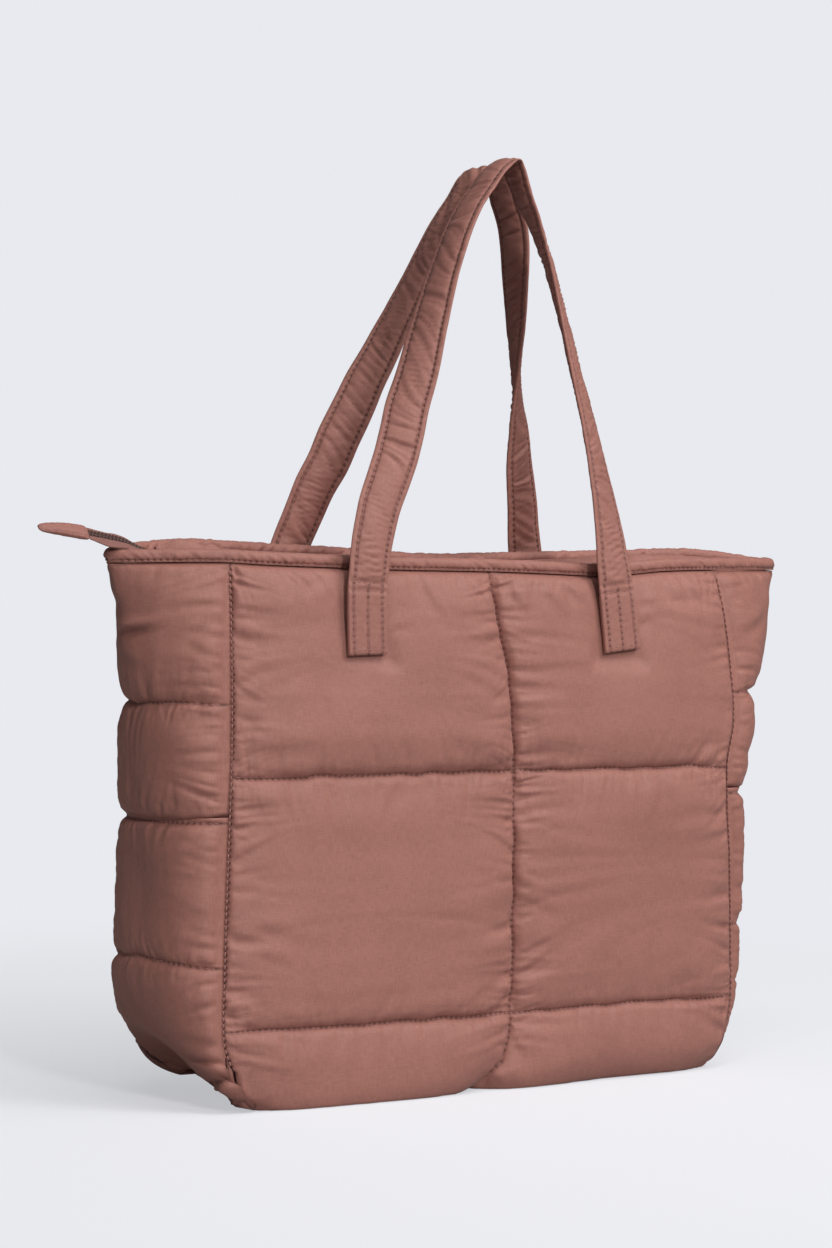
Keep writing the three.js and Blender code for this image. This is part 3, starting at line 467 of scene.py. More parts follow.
# ------------------------------------------------------------------ panels
# Folds drawn on a panel: ends (x, z) of the fold, half width and height in mm.
FOLDS_FRONT = (
    (-24, 322, 2, 296, 5, 1.0), (6, 318, 22, 296, 5, 0.9), (46, 322, 74, 300, 6, 1.1), (30, 318, 56, 292, 6, 0.7),
    (104, 296, 128, 300, 5, 0.9), (108, 310, 140, 300, 6, 0.7), (128, 322, 158, 300, 7, 1.0), (150, 322, 176, 296, 6, 0.9),
    (-84, 292, -62, 294, 5, 0.8), (-120, 320, -150, 300, 6, 0.5), (-180, 232, -150, 226, 5, 0.6), (-186, 116, -140, 104, 7, 0.9),
    (-186, 98, -150, 90, 6, 0.7), (16, 120, 52, 112, 6, 0.8), (16, 96, 46, 92, 6, 0.6), (14, 150, 44, 148, 6, 0.6),
    (2, 96, -34, 92, 6, 0.6), (8, 30, 22, 22, 4, 1.2), (2, 14, 18, 8, 4, 1.0), (176, 214, 150, 208, 5, 0.6))
FOLDS_REAR = (
    (-120, 322, -148, 298, 6, 0.9), (-70, 322, -48, 300, 6, 0.9), (76, 320, 50, 298, 6, 1.0), (120, 320, 150, 300, 6, 0.8),
    (-24, 312, 0, 292, 5, 0.8), (14, 150, 48, 146, 6, 0.7), (8, 110, -34, 104, 6, 0.7), (-186, 110, -146, 100, 6, 0.8),
    (180, 120, 146, 112, 6, 0.8), (8, 30, 24, 20, 4, 1.0))


def folds(X, Z, table):
    out = np.zeros(X.shape)
    for x0, z0, x1, z1, w, h in table:
        dx, dz = x1 - x0, z1 - z0
        ln = math.hypot(dx, dz)
        t = ((X - x0) * dx + (Z - z0) * dz) / ln ** 2
        d = ((X - x0) * dz - (Z - z0) * dx) / ln
        d = d + 2.0 * np.sin(np.clip(t, 0, 1) * 2.4)
        along = smooth(t / 0.25) * smooth((1 - t) / 0.7)
        wide = w * (0.55 + 0.6 * np.clip(t, 0, 1))
        q = d / wide
        out += h * along * (np.exp(-q ** 2) - 0.9 * np.exp(-((q - 1.25) / 0.8) ** 2))
    return out


# How far the front panel's left edge is drawn in over the folded corner (v, mm).
DRAWN = np.array([(0, 0), (284, 0), (300, 2.5), (310, 7), (320, 9.5), (332, 10), (V_END, 9)])


def drawn(v):
    return read(DRAWN[:, 0], DRAWN[:, 1], v)


def panel_base(side, u, v, inset):
    xl = -plan("xl", v) + corner_gap(v) / 2 + (drawn(v) if side < 0 else 0)
    xr = plan("xr", v) - 0.06 - (corner_gap(v) / 2 - 0.06) * smooth((v - 280) / 30) + (5.0 * smooth((v - 314) / 20) if side < 0 else 0)
    xc = plan("xc", v) + 0.5 * line_noise(v, 40, 5 + side)
    if side < 0:      # the front's centre seam bends to the left below the low line
        xc = xc - read([200, 243, 281, 305, 318, 330, V_END], [0, 2, 4.5, 7, 11, 14, 15], v)
    x = np.where(u <= 1, xl + (xc - xl) * u, xc + (xr - xc) * (u - 1))
    s = np.clip(np.where(x < 0, x / -xl, x / xr), -1, 1)
    y, z = seam_point(v, inset, read(EDGE[:, 0], EDGE[:, 1], -side * x))
    curl = np.clip((v - V_CURL) / (V_END - V_CURL), 0, 1)
    y = y + plan("bow", v) * (1 - s * s) * (1 - curl)
    z = z + (rim_top(x, side) - BINDING_H - RIM_GAP - Z_RIM) * rim_follow(v)
    return np.stack([x, side * y, z], -1), x, xl, xr, xc


def panel(name, side, step, fold_table, material):
    n = int(190 / step)
    tt = warped(n)
    us = np.concatenate([tt, 1 + tt[1:]])
    vs = np.concatenate([warped(int(V_MID / step))[:-1] * V_MID,
                         V_MID + warped(int((V_LOW - V_MID) / step))[:-1] * (V_LOW - V_MID),
                         V_LOW + warped(int((V_END - V_LOW) / step)) * (V_END - V_LOW)])
    U, V = np.meshgrid(us, vs)
    B, x, xl, xr, xc = panel_base(side, U, V, 0.0)
    N = grid_normals(B)
    if (N[..., 1] * side).mean() < 0:
        N = -N
    to_side = np.minimum(x - xl, xr - x)
    to_c = x - xc
    d_mid = V - V_MID - 0.6 * line_noise(x, 30, 21 + side)
    d_low = V - V_LOW - 0.5 * line_noise(x, 30, 22 + side)
    p = pillow(to_side, 5, 56, 0.17) * (0.06 + 0.94 * pillow(np.abs(to_c), 6, 36, 0.36))
    p *= 0.08 + 0.92 * pillow(V, 7, 24)
    p *= 0.16 + 0.84 * pillow(np.abs(d_mid), 7, 32)
    p *= 0.30 + 0.70 * pillow(np.abs(d_low), 6, 26)
    p *= 0.1 + 0.9 * swell(V_END - V, 24)
    for c in STRAP_X[side]:
        p *= 1 - 0.45 * np.exp(-((x - c) / 24) ** 2 - ((V - (Z_RIM - 292)) / 30) ** 2)
    h = PUFF_FRONT * 1.03 * p
    sd = 300 + 50 * side
    h += puckers(x - xl, V, sd + 1, 1.15) + puckers(xr - x, V, sd + 2, 1.15)
    h += puckers(to_c, V, sd + 3, 1.3, 1.1)
    h += puckers(d_mid, x, sd + 4, 0.8, 0.9)
    h += puckers(d_low, x, sd + 5, 0.7, 0.8)
    h += puckers(V, x, sd + 6, 0.9, 0.9)
    cell = step
    rip = grid_noise(U.shape, (4.0 / cell, 24 / cell), sd + 7)
    near_v = np.exp(-np.minimum(np.abs(to_c), to_side) / 24)
    h += rip * (0.09 + 0.50 * near_v) * np.clip(p * 2.0, 0, 1)
    h += grid_noise(U.shape, (17 / cell, 26 / cell), sd + 8) * 0.60 * np.clip(p * 1.3, 0, 1)
    h += grid_noise(U.shape, (8 / cell, 20 / cell), sd + 10) * 0.25 * np.clip(p * 1.3, 0, 1)
    h += grid_noise(U.shape, (5 / cell, 6 / cell), sd + 9) * 0.10
    h += 0.85 * folds(x, B[..., 2], fold_table) * np.clip(p * 3, 0, 1)
    edge = 1 - np.exp(-(np.minimum(np.minimum(to_side, V), V_END - V) / 1.3) ** 2)
    h *= edge
    P = B + N * h[..., None]
    if side < 0:
        P[..., 1] += 4.5 * np.exp(-((x - xl) / 15) ** 2) * smooth((V - 310) / 16)
    # The sewn strap ends press the padding flat.
    for c in STRAP_X[side]:
        dx = np.maximum(np.abs(P[..., 0] - c) - 16, 0)
        dz = np.maximum(np.maximum(P[..., 2] - 320, 272 - P[..., 2]), 0)
        lim = 55.3 + 0.5 * np.hypot(dx, dz)
        k = 1.2
        y = side * P[..., 1]
        y = np.where(y > lim - k, lim - k + k * np.tanh((y - lim + k) / k), y)
        P[..., 1] = side * np.where(np.hypot(dx, dz) < 14, y, side * P[..., 1])
    P = turned(P)
    P[..., 2] = np.maximum(P[..., 2], 0.3)
    P = lifted(P)
    ui = np.concatenate([np.linspace(0, 1, 8), np.linspace(1, 2, 8)[1:]])
    vi = np.concatenate([np.linspace(0, V_CURL, 14), np.linspace(V_CURL, V_END, 7)[1:]])
    Ui, Vi = np.meshgrid(ui, vi)
    I = turned(panel_base(side, Ui, Vi, SEAM_T)[0])
    I[..., 2] = np.maximum(I[..., 2], 0.3)
    I = lifted(I)
    verts, quads, tris = shell(P, I)
    cloth = np.zeros((len(verts), 3)); cloth[:P.shape[0] * P.shape[1]] = np.stack([x, V, 0 * x], -1).reshape(-1, 3)
    cand = np.stack([np.abs(to_c), np.abs(d_mid), np.abs(d_low), np.abs(to_side - 0.2)], -1)
    which = cand.argmin(-1)
    ss = np.choose(which, [V, x + 200, x + 200, V])
    seam = np.tile([50.0, 0, 0], (len(verts), 1))
    # The third value weights the painted shade along each sewn line: 1.7 on the left corner line, 0.4 on the right one,
    # 1.0 elsewhere.
    seam[:P.shape[0] * P.shape[1]] = np.stack([cand.min(-1), ss, np.where(which == 3, np.where(x < 0, 1.7, 0.4), 1.0)], -1).reshape(-1, 3)
    ob = build(name, verts, quads, tris, material, cloth, seam)
    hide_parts(name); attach(ob, "root")
    # Sewn lines: upright centre, middle and low.
    NN = grid_normals(P)
    if (NN[..., 1] * side).mean() < 0:
        NN = -NN
    jc = n
    i_mid = int(np.argmin(np.abs(vs - V_MID))); i_low = int(np.argmin(np.abs(vs - V_LOW)))
    ends = slice(3, -3)
    sew("panels", P[4:-6, jc], NN[4:-6, jc])
    for j, hx in ((0, -1.0), (-1, 1.0)):
        off = np.array([hx * 0.5, side * 0.9, 0.0])
        sew("corners", P[5:-8, j] + off, np.tile([hx * 0.6, side * 0.8, 0.0], (P.shape[0] - 13, 1)), lift=0.2, r=0.5, keep=lambda z: z > 30)
    sew("panels", P[i_mid, ends], NN[i_mid, ends])
    sew("panels", P[i_low, ends], NN[i_low, ends])
    return ob


# ------------------------------------------------------------------ gussets and pockets
def gusset_base(hand, t, v, edge, middle):
    xs = plan("xl", v) if hand < 0 else plan("xr", v)
    x0 = xs + (corner_gap(v) / 2 if hand < 0 else 0.06 + (corner_gap(v) / 2 - 0.06) * smooth((v - 280) / 30))
    col = "gl" if hand < 0 else "gr"
    g = plan(col, v)
    vee = 1 - (np.sqrt(t * t + 0.09) - 0.3) / (math.sqrt(1.09) - 0.3)
    arc = np.sqrt(np.maximum(0, 1 - np.power(np.abs(t), 2.1)))
    w = smooth(1 - v / 110)
    shape = w * vee + (1 - w) * arc
    dz = plan("zm", v + 3) - plan("zm", v - 3)
    dg = plan(col, v + 3) - plan(col, v - 3)
    ln = np.hypot(dz, dg) + 1e-9
    low = v > 250
    nx = np.where(low, -dz / ln, 1.0); nz = np.where(low, dg / ln, 0.0)
    ey, ez = seam_point(v, edge, read(EDGE[:, 0], EDGE[:, 1], hand * np.where(t < 0, 1, -1) * 190.0))
    xm = g - middle * nx
    zm = plan("zm", v) - middle * nz
    return np.stack([x0 + (xm - x0) * shape, ey * t, ez + (zm - ez) * shape], -1)


def finish_side(P, hand, v, t):
    side = np.where(t < 0, -1, 1)
    P = P.copy()
    P[..., 2] += (rim_top(hand * P[..., 0], side) - BINDING_H - RIM_GAP - Z_RIM) * rim_follow(v)
    P[..., 0] *= hand
    P = turned(P)
    P[..., 2] = np.maximum(P[..., 2], 0.3)
    return lifted(P)


def t_grid(n):
    a = np.linspace(-1, 1, n)
    return np.sign(a) * (1 - np.power(1 - np.abs(a), 1.35))


def gusset(hand, material):
    h_ = SIDES["left" if hand < 0 else "right"]
    name = "gusset_left" if hand < 0 else "gusset_right"
    top = Z_RIM - h_["top"]; seam_v = Z_RIM - h_["seam"]
    vs = np.concatenate([warped(60) * seam_v, (seam_v + warped(54) * (top - 8 - seam_v))[1:],
                         np.linspace(top - 8, top + 14, 30)[1:], np.linspace(top + 14, V_END, 34)[1:]])
    ts = t_grid(113)
    T, V = np.meshgrid(ts, vs)
    under = smooth((V - (top - 3.6)) / 5)
    slim = (2.6 if hand < 0 else 0.0) * smooth(V / 40)
    B = gusset_base(hand, T, V, under * (POCKET_T + GAP), under * 9.5 + (1 - under) * slim)
    N = grid_normals(B)
    if N[..., 0].mean() < 0:
        N = -N
    d_edge = (1 - np.abs(T)) * 55
    d_seam = V - seam_v - 0.5 * line_noise(T * 60, 26, 31 + hand)
    ridge = 1 - smooth(1 - V / 96) * np.exp(-(T / 0.4) ** 2)
    p = pillow(d_edge, 7, 27) * (0.1 + 0.9 * pillow(V, 6, 22)) * ridge
    p *= 0.16 + 0.84 * pillow(np.abs(d_seam), 7, 27)
    p *= (0.50 + 0.50 * pillow(top - 0.5 - V, 4, 14)) * (1 - under)
    h = PUFF_SIDE * 1.03 * p
    sd = 600 + 60 * hand
    s_x = T * 62
    vis = 1 - under
    h += vis * (puckers(d_edge, V + 200 * (T > 0), sd + 1, 0.85, 0.8) + puckers(d_seam, s_x + 80, sd + 2, 0.9, 0.8)
                + puckers(V, s_x + 80, sd + 3, 0.8, 0.8) + puckers(top - 3 - V, s_x + 80, sd + 4, 0.6, 0.7))
    h += vis * grid_noise(T.shape, (10, 20), sd + 5) * 0.45 * np.clip(p * 1.3, 0, 1)
    h += vis * grid_noise(T.shape, (3.2, 12), sd + 6) * 0.28 * np.exp(-d_edge / 22)

    def dent(tc, vc, lt, lv, deep, tilt=0.0):
        q = (V - vc - tilt * (T - tc) * 60) / lv
        return -deep * np.exp(-((T - tc) / lt) ** 2) * (np.exp(-q ** 2) - 0.75 * np.exp(-((q + 1.5) / 1.1) ** 2))
    if hand < 0:
        h += dent(-0.15, 40, 0.22, 3.0, 5.2, 0.06) + dent(-0.05, 60, 0.16, 5, 1.4, -0.1) + dent(0.1, 24, 0.2, 5, 1.0)
        h += dent(-0.82, 40, 0.1, 3.0, 0.9, 0.5) + dent(-0.85, 54, 0.1, 3.0, 1.0, -0.4)
    else:
        h += dent(-0.72, 38, 0.2, 4.5, 1.8, -0.45) + dent(-0.5, 108, 0.2, 5, 1.5, -0.6) + dent(-0.1, 30, 0.2, 6, 1.0)
    edge = 1 - np.exp(-(np.minimum(np.minimum(d_edge, V), V_END - V) / 1.3) ** 2)
    P = finish_side(B + N * (h * edge)[..., None], hand, V, T)
    Ti, Vi = np.meshgrid(np.array([-1, -0.93, -0.8, -0.5, -0.2, 0, 0.2, 0.5, 0.8, 0.93, 1]),
                         np.concatenate([np.linspace(0, top - 14, 9), np.linspace(top - 9, top, 3), np.linspace(top + 20, V_CURL, 6), np.linspace(V_CURL, V_END, 6)[1:]]))
    ui = smooth((Vi - (top - 9)) / 7)
    I = finish_side(gusset_base(hand, Ti, Vi, SEAM_T + GAP + 0 * Vi, 6 + ui * 7), hand, Vi, Ti)
    verts, quads, tris = shell(P, I)
    k = P.shape[0] * P.shape[1]
    cloth = np.zeros((len(verts), 3)); cloth[:k] = np.stack([s_x + 500 + 200 * hand, V, 0 * V], -1).reshape(-1, 3)
    seam = np.tile([50.0, 0, 0], (len(verts), 1))
    # Besides the sewn seam, a continuous line of painted shade runs just above the pocket's top edge, under its
    # overhang.
    cand = np.stack([np.abs(d_seam), 0.6 * np.abs(V - (top - 0.6))], -1)
    seam[:k] = np.stack([cand.min(-1), np.where(cand.argmin(-1) == 0, s_x + 100, 0), np.ones_like(s_x)], -1).reshape(-1, 3)
    ob = build(name, verts, quads, tris, material, cloth, seam)
    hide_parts(name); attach(ob, "root")
    NN = grid_normals(P)
    if (NN[..., 0] * hand).mean() < 0:
        NN = -NN
    i = int(np.argmin(np.abs(vs - seam_v)))
    sew("sides", P[i, 3:-3], NN[i, 3:-3])
    return ob


def pocket(hand, material):
    h_ = SIDES["left" if hand < 0 else "right"]
    name = "side_pocket_left" if hand < 0 else "side_pocket_right"
    top = Z_RIM - h_["top"]; sv = Z_RIM - h_["pocket"]
    vs = np.concatenate([top + np.linspace(0, 8, 8), (top + 8 + warped(54) * (sv - top - 8))[1:], (sv + warped(64) * (V_END - sv))[1:]])
    ts = t_grid(113)
    T, V = np.meshgrid(ts, vs)
    B = gusset_base(hand, T, V, 0.0, (2.6 if hand < 0 else 0.0) + 0 * V)
    if hand < 0:
        B[..., 0] -= drawn(V) * smooth(1 - (T + 1) / 0.16)
        low = np.exp(-((T + 0.86) / 0.20) ** 2) * smooth((V - 302) / 22)
        B[..., 0] += 3.0 * low; B[..., 1] -= 8.5 * low
        B[..., 0] += 4.5 * smooth((V - 290) / 36) * smooth((0.9 - T) / 1.8) * smooth((T + 1) / 0.2)
    if hand > 0:
        B[..., 0] += 5.0 * smooth((V - 314) / 20) * smooth(1 - (T + 1) / 0.3)
    N = grid_normals(B)
    if N[..., 0].mean() < 0:
        N = -N
    d_edge = (1 - np.abs(T)) * 58
    s_x = T * 62
    d_hem = V - top - 3.6
    d_seam = V - sv - 0.6 * line_noise(s_x, 26, 41 + hand) + (4.0 * (1 - T * T) if hand < 0 else 0)
    p = pillow(d_edge, 7, 27) * (0.12 + 0.88 * swell(V_END - V, 24))
    hem = np.where(d_hem > 0, 0.14 + 0.86 * pillow(d_hem, 6, 22), 0.14 + 0.14 * np.clip(-d_hem / 3.0, 0, 1))
    p = p * hem
    p *= 0.30 + 0.70 * pillow(np.abs(d_seam), 7, 27)
    if hand < 0:
        p *= 1 - 0.55 * np.exp(-((V - 196) / 30) ** 2) * np.exp(-(T / 0.55) ** 2)
        p *= 1 - 0.60 * smooth((V - 262) / 60) * np.exp(-((T - 0.35) / 0.60) ** 2)
        p *= 1 - 0.35 * smooth((V - 300) / 14) * np.exp(-((T + 0.80) / 0.22) ** 2)
    h = PUFF_SIDE * 1.03 * p
    sd = 800 + 60 * hand
    h += puckers(d_edge, V + 200 * (T > 0), sd + 1, 0.85, 0.8) + puckers(d_seam, s_x + 80, sd + 2, 0.55, 0.6)
    h += puckers(d_hem, s_x + 80, sd + 3, 0.55, 0.5)
    h += grid_noise(T.shape, (10, 20), sd + 5) * 0.40 * np.clip(p * 1.3, 0, 1)
    h += grid_noise(T.shape, (3.2, 12), sd + 6) * 0.28 * np.exp(-d_edge / 22)
    # Where the boxed corner is drawn in at the ground: a tucked edge and two creases from it.
    if hand < 0:
        f = (T + 1) / 0.55
        reach = smooth(f / 0.10) * smooth((1.25 - f) / 0.5)
        c1 = (V - (306 + 22 * f)) / 2.6
        h += reach * (-2.6 * np.exp(-c1 ** 2) + 1.3 * np.exp(-((c1 - 1.9) / 1.2) ** 2))
        c2 = (V - (299 - 1.5 * f + 1.5 * np.sin(4 * f))) / 2.4
        h += smooth(f / 0.10) * smooth((1.7 - f) / 1.2) * (-1.9 * np.exp(-c2 ** 2) + 1.2 * np.exp(-((c2 - 2.2) / 1.3) ** 2) + 0.9 * np.exp(-((c2 + 2.4) / 1.4) ** 2))
        c3 = (V - (289 - 7 * f)) / 2.6
        h += smooth(f / 0.08) * smooth((0.9 - f) / 0.7) * (-1.0 * np.exp(-c3 ** 2) + 0.6 * np.exp(-((c3 + 2.0) / 1.3) ** 2))
        h -= 1.6 * np.exp(-((T + 1.0) / 0.07) ** 2) * smooth((V - 298) / 10)
    edge = 1 - np.exp(-(np.minimum(d_edge, V_END - V) / 1.3) ** 2)
    P = finish_side(B + N * (h * edge)[..., None], hand, V, T)
    Ti, Vi = np.meshgrid(np.array([-1, -0.93, -0.8, -0.5, -0.2, 0, 0.2, 0.5, 0.8, 0.93, 1]),
                         np.concatenate([np.linspace(top, V_CURL, 12), np.linspace(V_CURL, V_END, 6)[1:]]))
    I = finish_side(gusset_base(hand, Ti, Vi, POCKET_T + 0 * Vi, 5.5 + 0 * Vi), hand, Vi, Ti)
    verts, quads, tris = shell(P, I)
    k = P.shape[0] * P.shape[1]
    cloth = np.zeros((len(verts), 3)); cloth[:k] = np.stack([s_x + 900 + 200 * hand, V, 0 * V], -1).reshape(-1, 3)
    tuck_shade = 50.0 + 0 * V
    if hand < 0:      # painted shade in the deep folds of the boxed corner
        f = (T + 1) / 0.55
        tuck_shade = np.minimum(0.13 * d_edge + 50 * smooth((304 - V) / 8) + 50 * (T > 0), 0.55 * np.abs(V - (306 + 22 * f)) + 3.0 * smooth((f - 0.5) / 0.5) + 50 * (f > 1))
    cand = np.stack([np.abs(d_hem), np.abs(d_seam), tuck_shade], -1)
    seam = np.tile([50.0, 0, 0], (len(verts), 1))
    seam[:k] = np.stack([cand.min(-1), np.where(cand.argmin(-1) < 2, s_x + 100, 0), np.ones_like(s_x)], -1).reshape(-1, 3)
    ob = build(name, verts, quads, tris, material, cloth, seam)
    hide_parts(name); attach(ob, "root")
    NN = grid_normals(P)
    if (NN[..., 0] * hand).mean() < 0:
        NN = -NN
    for dist in (d_hem, d_seam):
        i = np.abs(dist).argmin(0)
        j = np.arange(P.shape[1])
        line = P[i, j]; nn = NN[i, j]
        ker = np.ones(5) / 5
        line = np.stack([np.convolve(np.pad(line[:, q], 2, mode="edge"), ker, "valid") for q in range(3)], -1)
        sew("sides", line[3:-3], nn[3:-3], lift=0.3)
    return ob


# ------------------------------------------------------------------ base
def base():
    xs = np.linspace(-175, 168, 140)
    ks = np.linspace(-1, 1, 34)
    half = float(seam_point(np.array(V_END), 0.0, 2.0)[0]) - 0.6
    K, X = np.meshgrid(ks, xs)
    sd = 950
    edge = np.minimum(np.minimum(X + 175, 168 - X), (1 - np.abs(K)) * half)
    low = np.maximum(0, 0.9 - 0.9 * np.clip(edge / 6, 0, 1)) + 0.12 * np.clip(grid_noise(X.shape, (6, 3), sd), 0, 2)
    P = np.stack([X, K * half, 0 * X], -1)
    P = turned(P); P[..., 2] = low; P = lifted(P)
    Q = turned(np.stack([X, K * half, 0 * X], -1)); Q[..., 2] = 4.2; Q = lifted(Q)
    verts, quads, tris = shell(P, Q[::4, ::3])
    cloth = np.concatenate([P.reshape(-1, 3), Q[::4, ::3].reshape(-1, 3)])
    ob = build("base_panel", verts, quads, tris, M_SHELL, cloth)
    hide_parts("base_panel"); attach(ob, "root")


# ------------------------------------------------------------------ rim binding
def rim_xy(k, side):
    xl, xr = PLAN[0][2], PLAN[0][3]
    a, mid, ye, bow = 0.16, SEAM_T / 2, PLAN[0][1], PLAN[0][7]
    tip = (k < a) | (k > 1 - a)
    left = k < a
    t = np.where(left, k / a, (1 - k) / a)
    x0 = np.where(left, xl, xr)
    g = np.where(left, PLAN[0][4], PLAN[0][5]) - 2.5
    vee = 1 - (np.sqrt(t * t + 0.09) - 0.3) / (math.sqrt(1.09) - 0.3)
    x_tip = np.where(left, -1, 1) * (x0 + (g - x0) * vee)
    y_tip = side * (ye - mid) * t
    x = -xl + (xl + xr) * (k - a) / (1 - 2 * a)
    s = np.where(x < 0, x / xl, x / xr)
    y = side * (ye - mid + bow * (1 - s * s))
    return np.where(tip, x_tip, x), np.where(tip, y_tip, y)


def rim_path(step=1.0):
    q = np.linspace(0, 2, 6001)[:-1]
    side = np.where(q < 1, -1, 1)
    k = np.where(q < 1, q, 2 - q)
    x, y = rim_xy(k, side)
    z = rim_top(x, side) - BINDING_H / 2
    P = np.stack([x, y, z], -1)
    # Ease the corners a little.
    ker = np.hanning(41); ker /= ker.sum()
    P = np.stack([np.convolve(np.concatenate([P[-20:, i], P[:, i], P[:20, i]]), ker, "valid") for i in range(3)], -1)
    Q = np.concatenate([P, P[:1]])
    s = np.concatenate([[0], np.cumsum(np.linalg.norm(np.diff(Q, axis=0), axis=1))])
    n = int(s[-1] / step)
    at = np.arange(n) * s[-1] / n
    return np.stack([np.interp(at, s, Q[:, i]) for i in range(3)], -1), at, s[-1]


def binding():
    P, s, total = rim_path()
    d = np.roll(P, -1, 0) - np.roll(P, 1, 0); d[:, 2] = 0
    d /= np.linalg.norm(d, axis=1, keepdims=True)
    out = np.stack([d[:, 1], -d[:, 0], 0 * d[:, 0]], -1)
    # section from the lower outer edge over the top to the lower inner edge (w, h), in halves
    sec = np.array([(0.36, -1.0), (0.42, -0.9), (0.38, -0.72), (0.40, -0.58), (0.47, -0.38), (0.5, -0.1), (0.49, 0.2), (0.44, 0.5), (0.34, 0.76), (0.18, 0.94),
                    (0, 1.0), (-0.18, 0.94), (-0.34, 0.76), (-0.44, 0.5), (-0.49, 0.2), (-0.5, -0.1), (-0.47, -0.38), (-0.40, -0.58),
                    (-0.38, -0.72), (-0.42, -0.9), (-0.36, -1.0), (0, -1.0)])
    m = len(sec)
    ang = np.arctan2(sec[:, 1], sec[:, 0])
    per = lambda wave, seed, lean: line_noise(s[:, None] + lean * sec[None, :, 1] * 4, wave, seed)
    ring = P[:, None] + out[:, None] * (sec[None, :, 0:1] * BINDING_W) + np.array([0, 0, 1.0])[None, None] * (sec[None, :, 1:2] * BINDING_H / 2)
    nrm = out[:, None] * np.cos(ang)[None, :, None] + np.array([0, 0, 1.0])[None, None] * np.sin(ang)[None, :, None]
    full = smooth((sec[:, 1] + 0.72) / 0.5)[None]
    h = 0.20 * per(6.0, 71, 1.1) * full + 0.15 * per(14, 72, -0.8) * full + 0.10 * per(4.0, 73, 0.4) * full
    crease = np.exp(-(per(6.0, 74, 1.5) / 0.35) ** 2)
    h = h - 0.48 * (crease - 0.3) * full
    scal = np.cos(2 * np.pi * s / PITCH)[:, None] * np.exp(-((sec[:, 1] + 0.72) / 0.14) ** 2)[None]
    h = h - 0.22 * scal
    h = 1.35 * h * (0.40 + 0.60 * smooth((0.85 - sec[:, 1]) / 0.5))[None]
    fade = np.ones(len(s))
    ring = ring + nrm * (h * fade[:, None])[..., None]
    V, q, tr = tube(ring, True)
    cloth = np.stack([np.repeat(s, m), np.tile(np.cumsum(np.ones(m)) * 1.1, len(s)), np.zeros(len(s) * m)], -1)
    cloth[:, 1] += cloth[:, 0] * 0.8
    seam = np.stack([np.tile(np.abs(sec[:, 1] + 0.72) * 4.0, len(s)), np.repeat(s, m), np.tile((np.abs(sec[:, 0]) > 0.2) * 1.0, len(s))], -1)
    ob = build("rim_binding", V, q, tr, M_TRIM, cloth, seam)
    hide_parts("rim_binding"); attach(ob, "root")
    closed = np.concatenate([ring, ring[:1]]); no = np.concatenate([nrm, nrm[:1]])
    sew("binding", closed[:, 2], np.concatenate([out, out[:1]]), lift=0.12)
    sew("binding", closed[:, 18], -np.concatenate([out, out[:1]]), lift=0.12)


# ------------------------------------------------------------------ straps
def spline(rows, per=24):
    P = rows[:, :3]
    P = np.concatenate([[2 * P[0] - P[1]], P, [2 * P[-1] - P[-2]]])
    pts = []; turns = []
    T = rows[:, 3]
    tm = np.gradient(T)
    for i in range(len(rows) - 1):
        p0, p1, p2, p3 = P[i:i + 4]
        d0, d1, d2 = (max(np.linalg.norm(b - a), 1e-6) ** 0.5 for a, b in ((p0, p1), (p1, p2), (p2, p3)))
        t1 = ((p1 - p0) / d0 - (p2 - p0) / (d0 + d1) + (p2 - p1) / d1) * d1
        t2 = ((p2 - p1) / d1 - (p3 - p1) / (d1 + d2) + (p3 - p2) / d2) * d1
        w = np.linspace(0, 1, per, endpoint=(i == len(rows) - 2))[:, None]
        pts.append(p1 + t1 * w + (-3 * p1 + 3 * p2 - 2 * t1 - t2) * w ** 2 + (2 * p1 - 2 * p2 + t1 + t2) * w ** 3)
        w = w[:, 0]
        turns.append(T[i] + (T[i + 1] - T[i]) * w)
    return np.concatenate(pts), np.concatenate(turns)


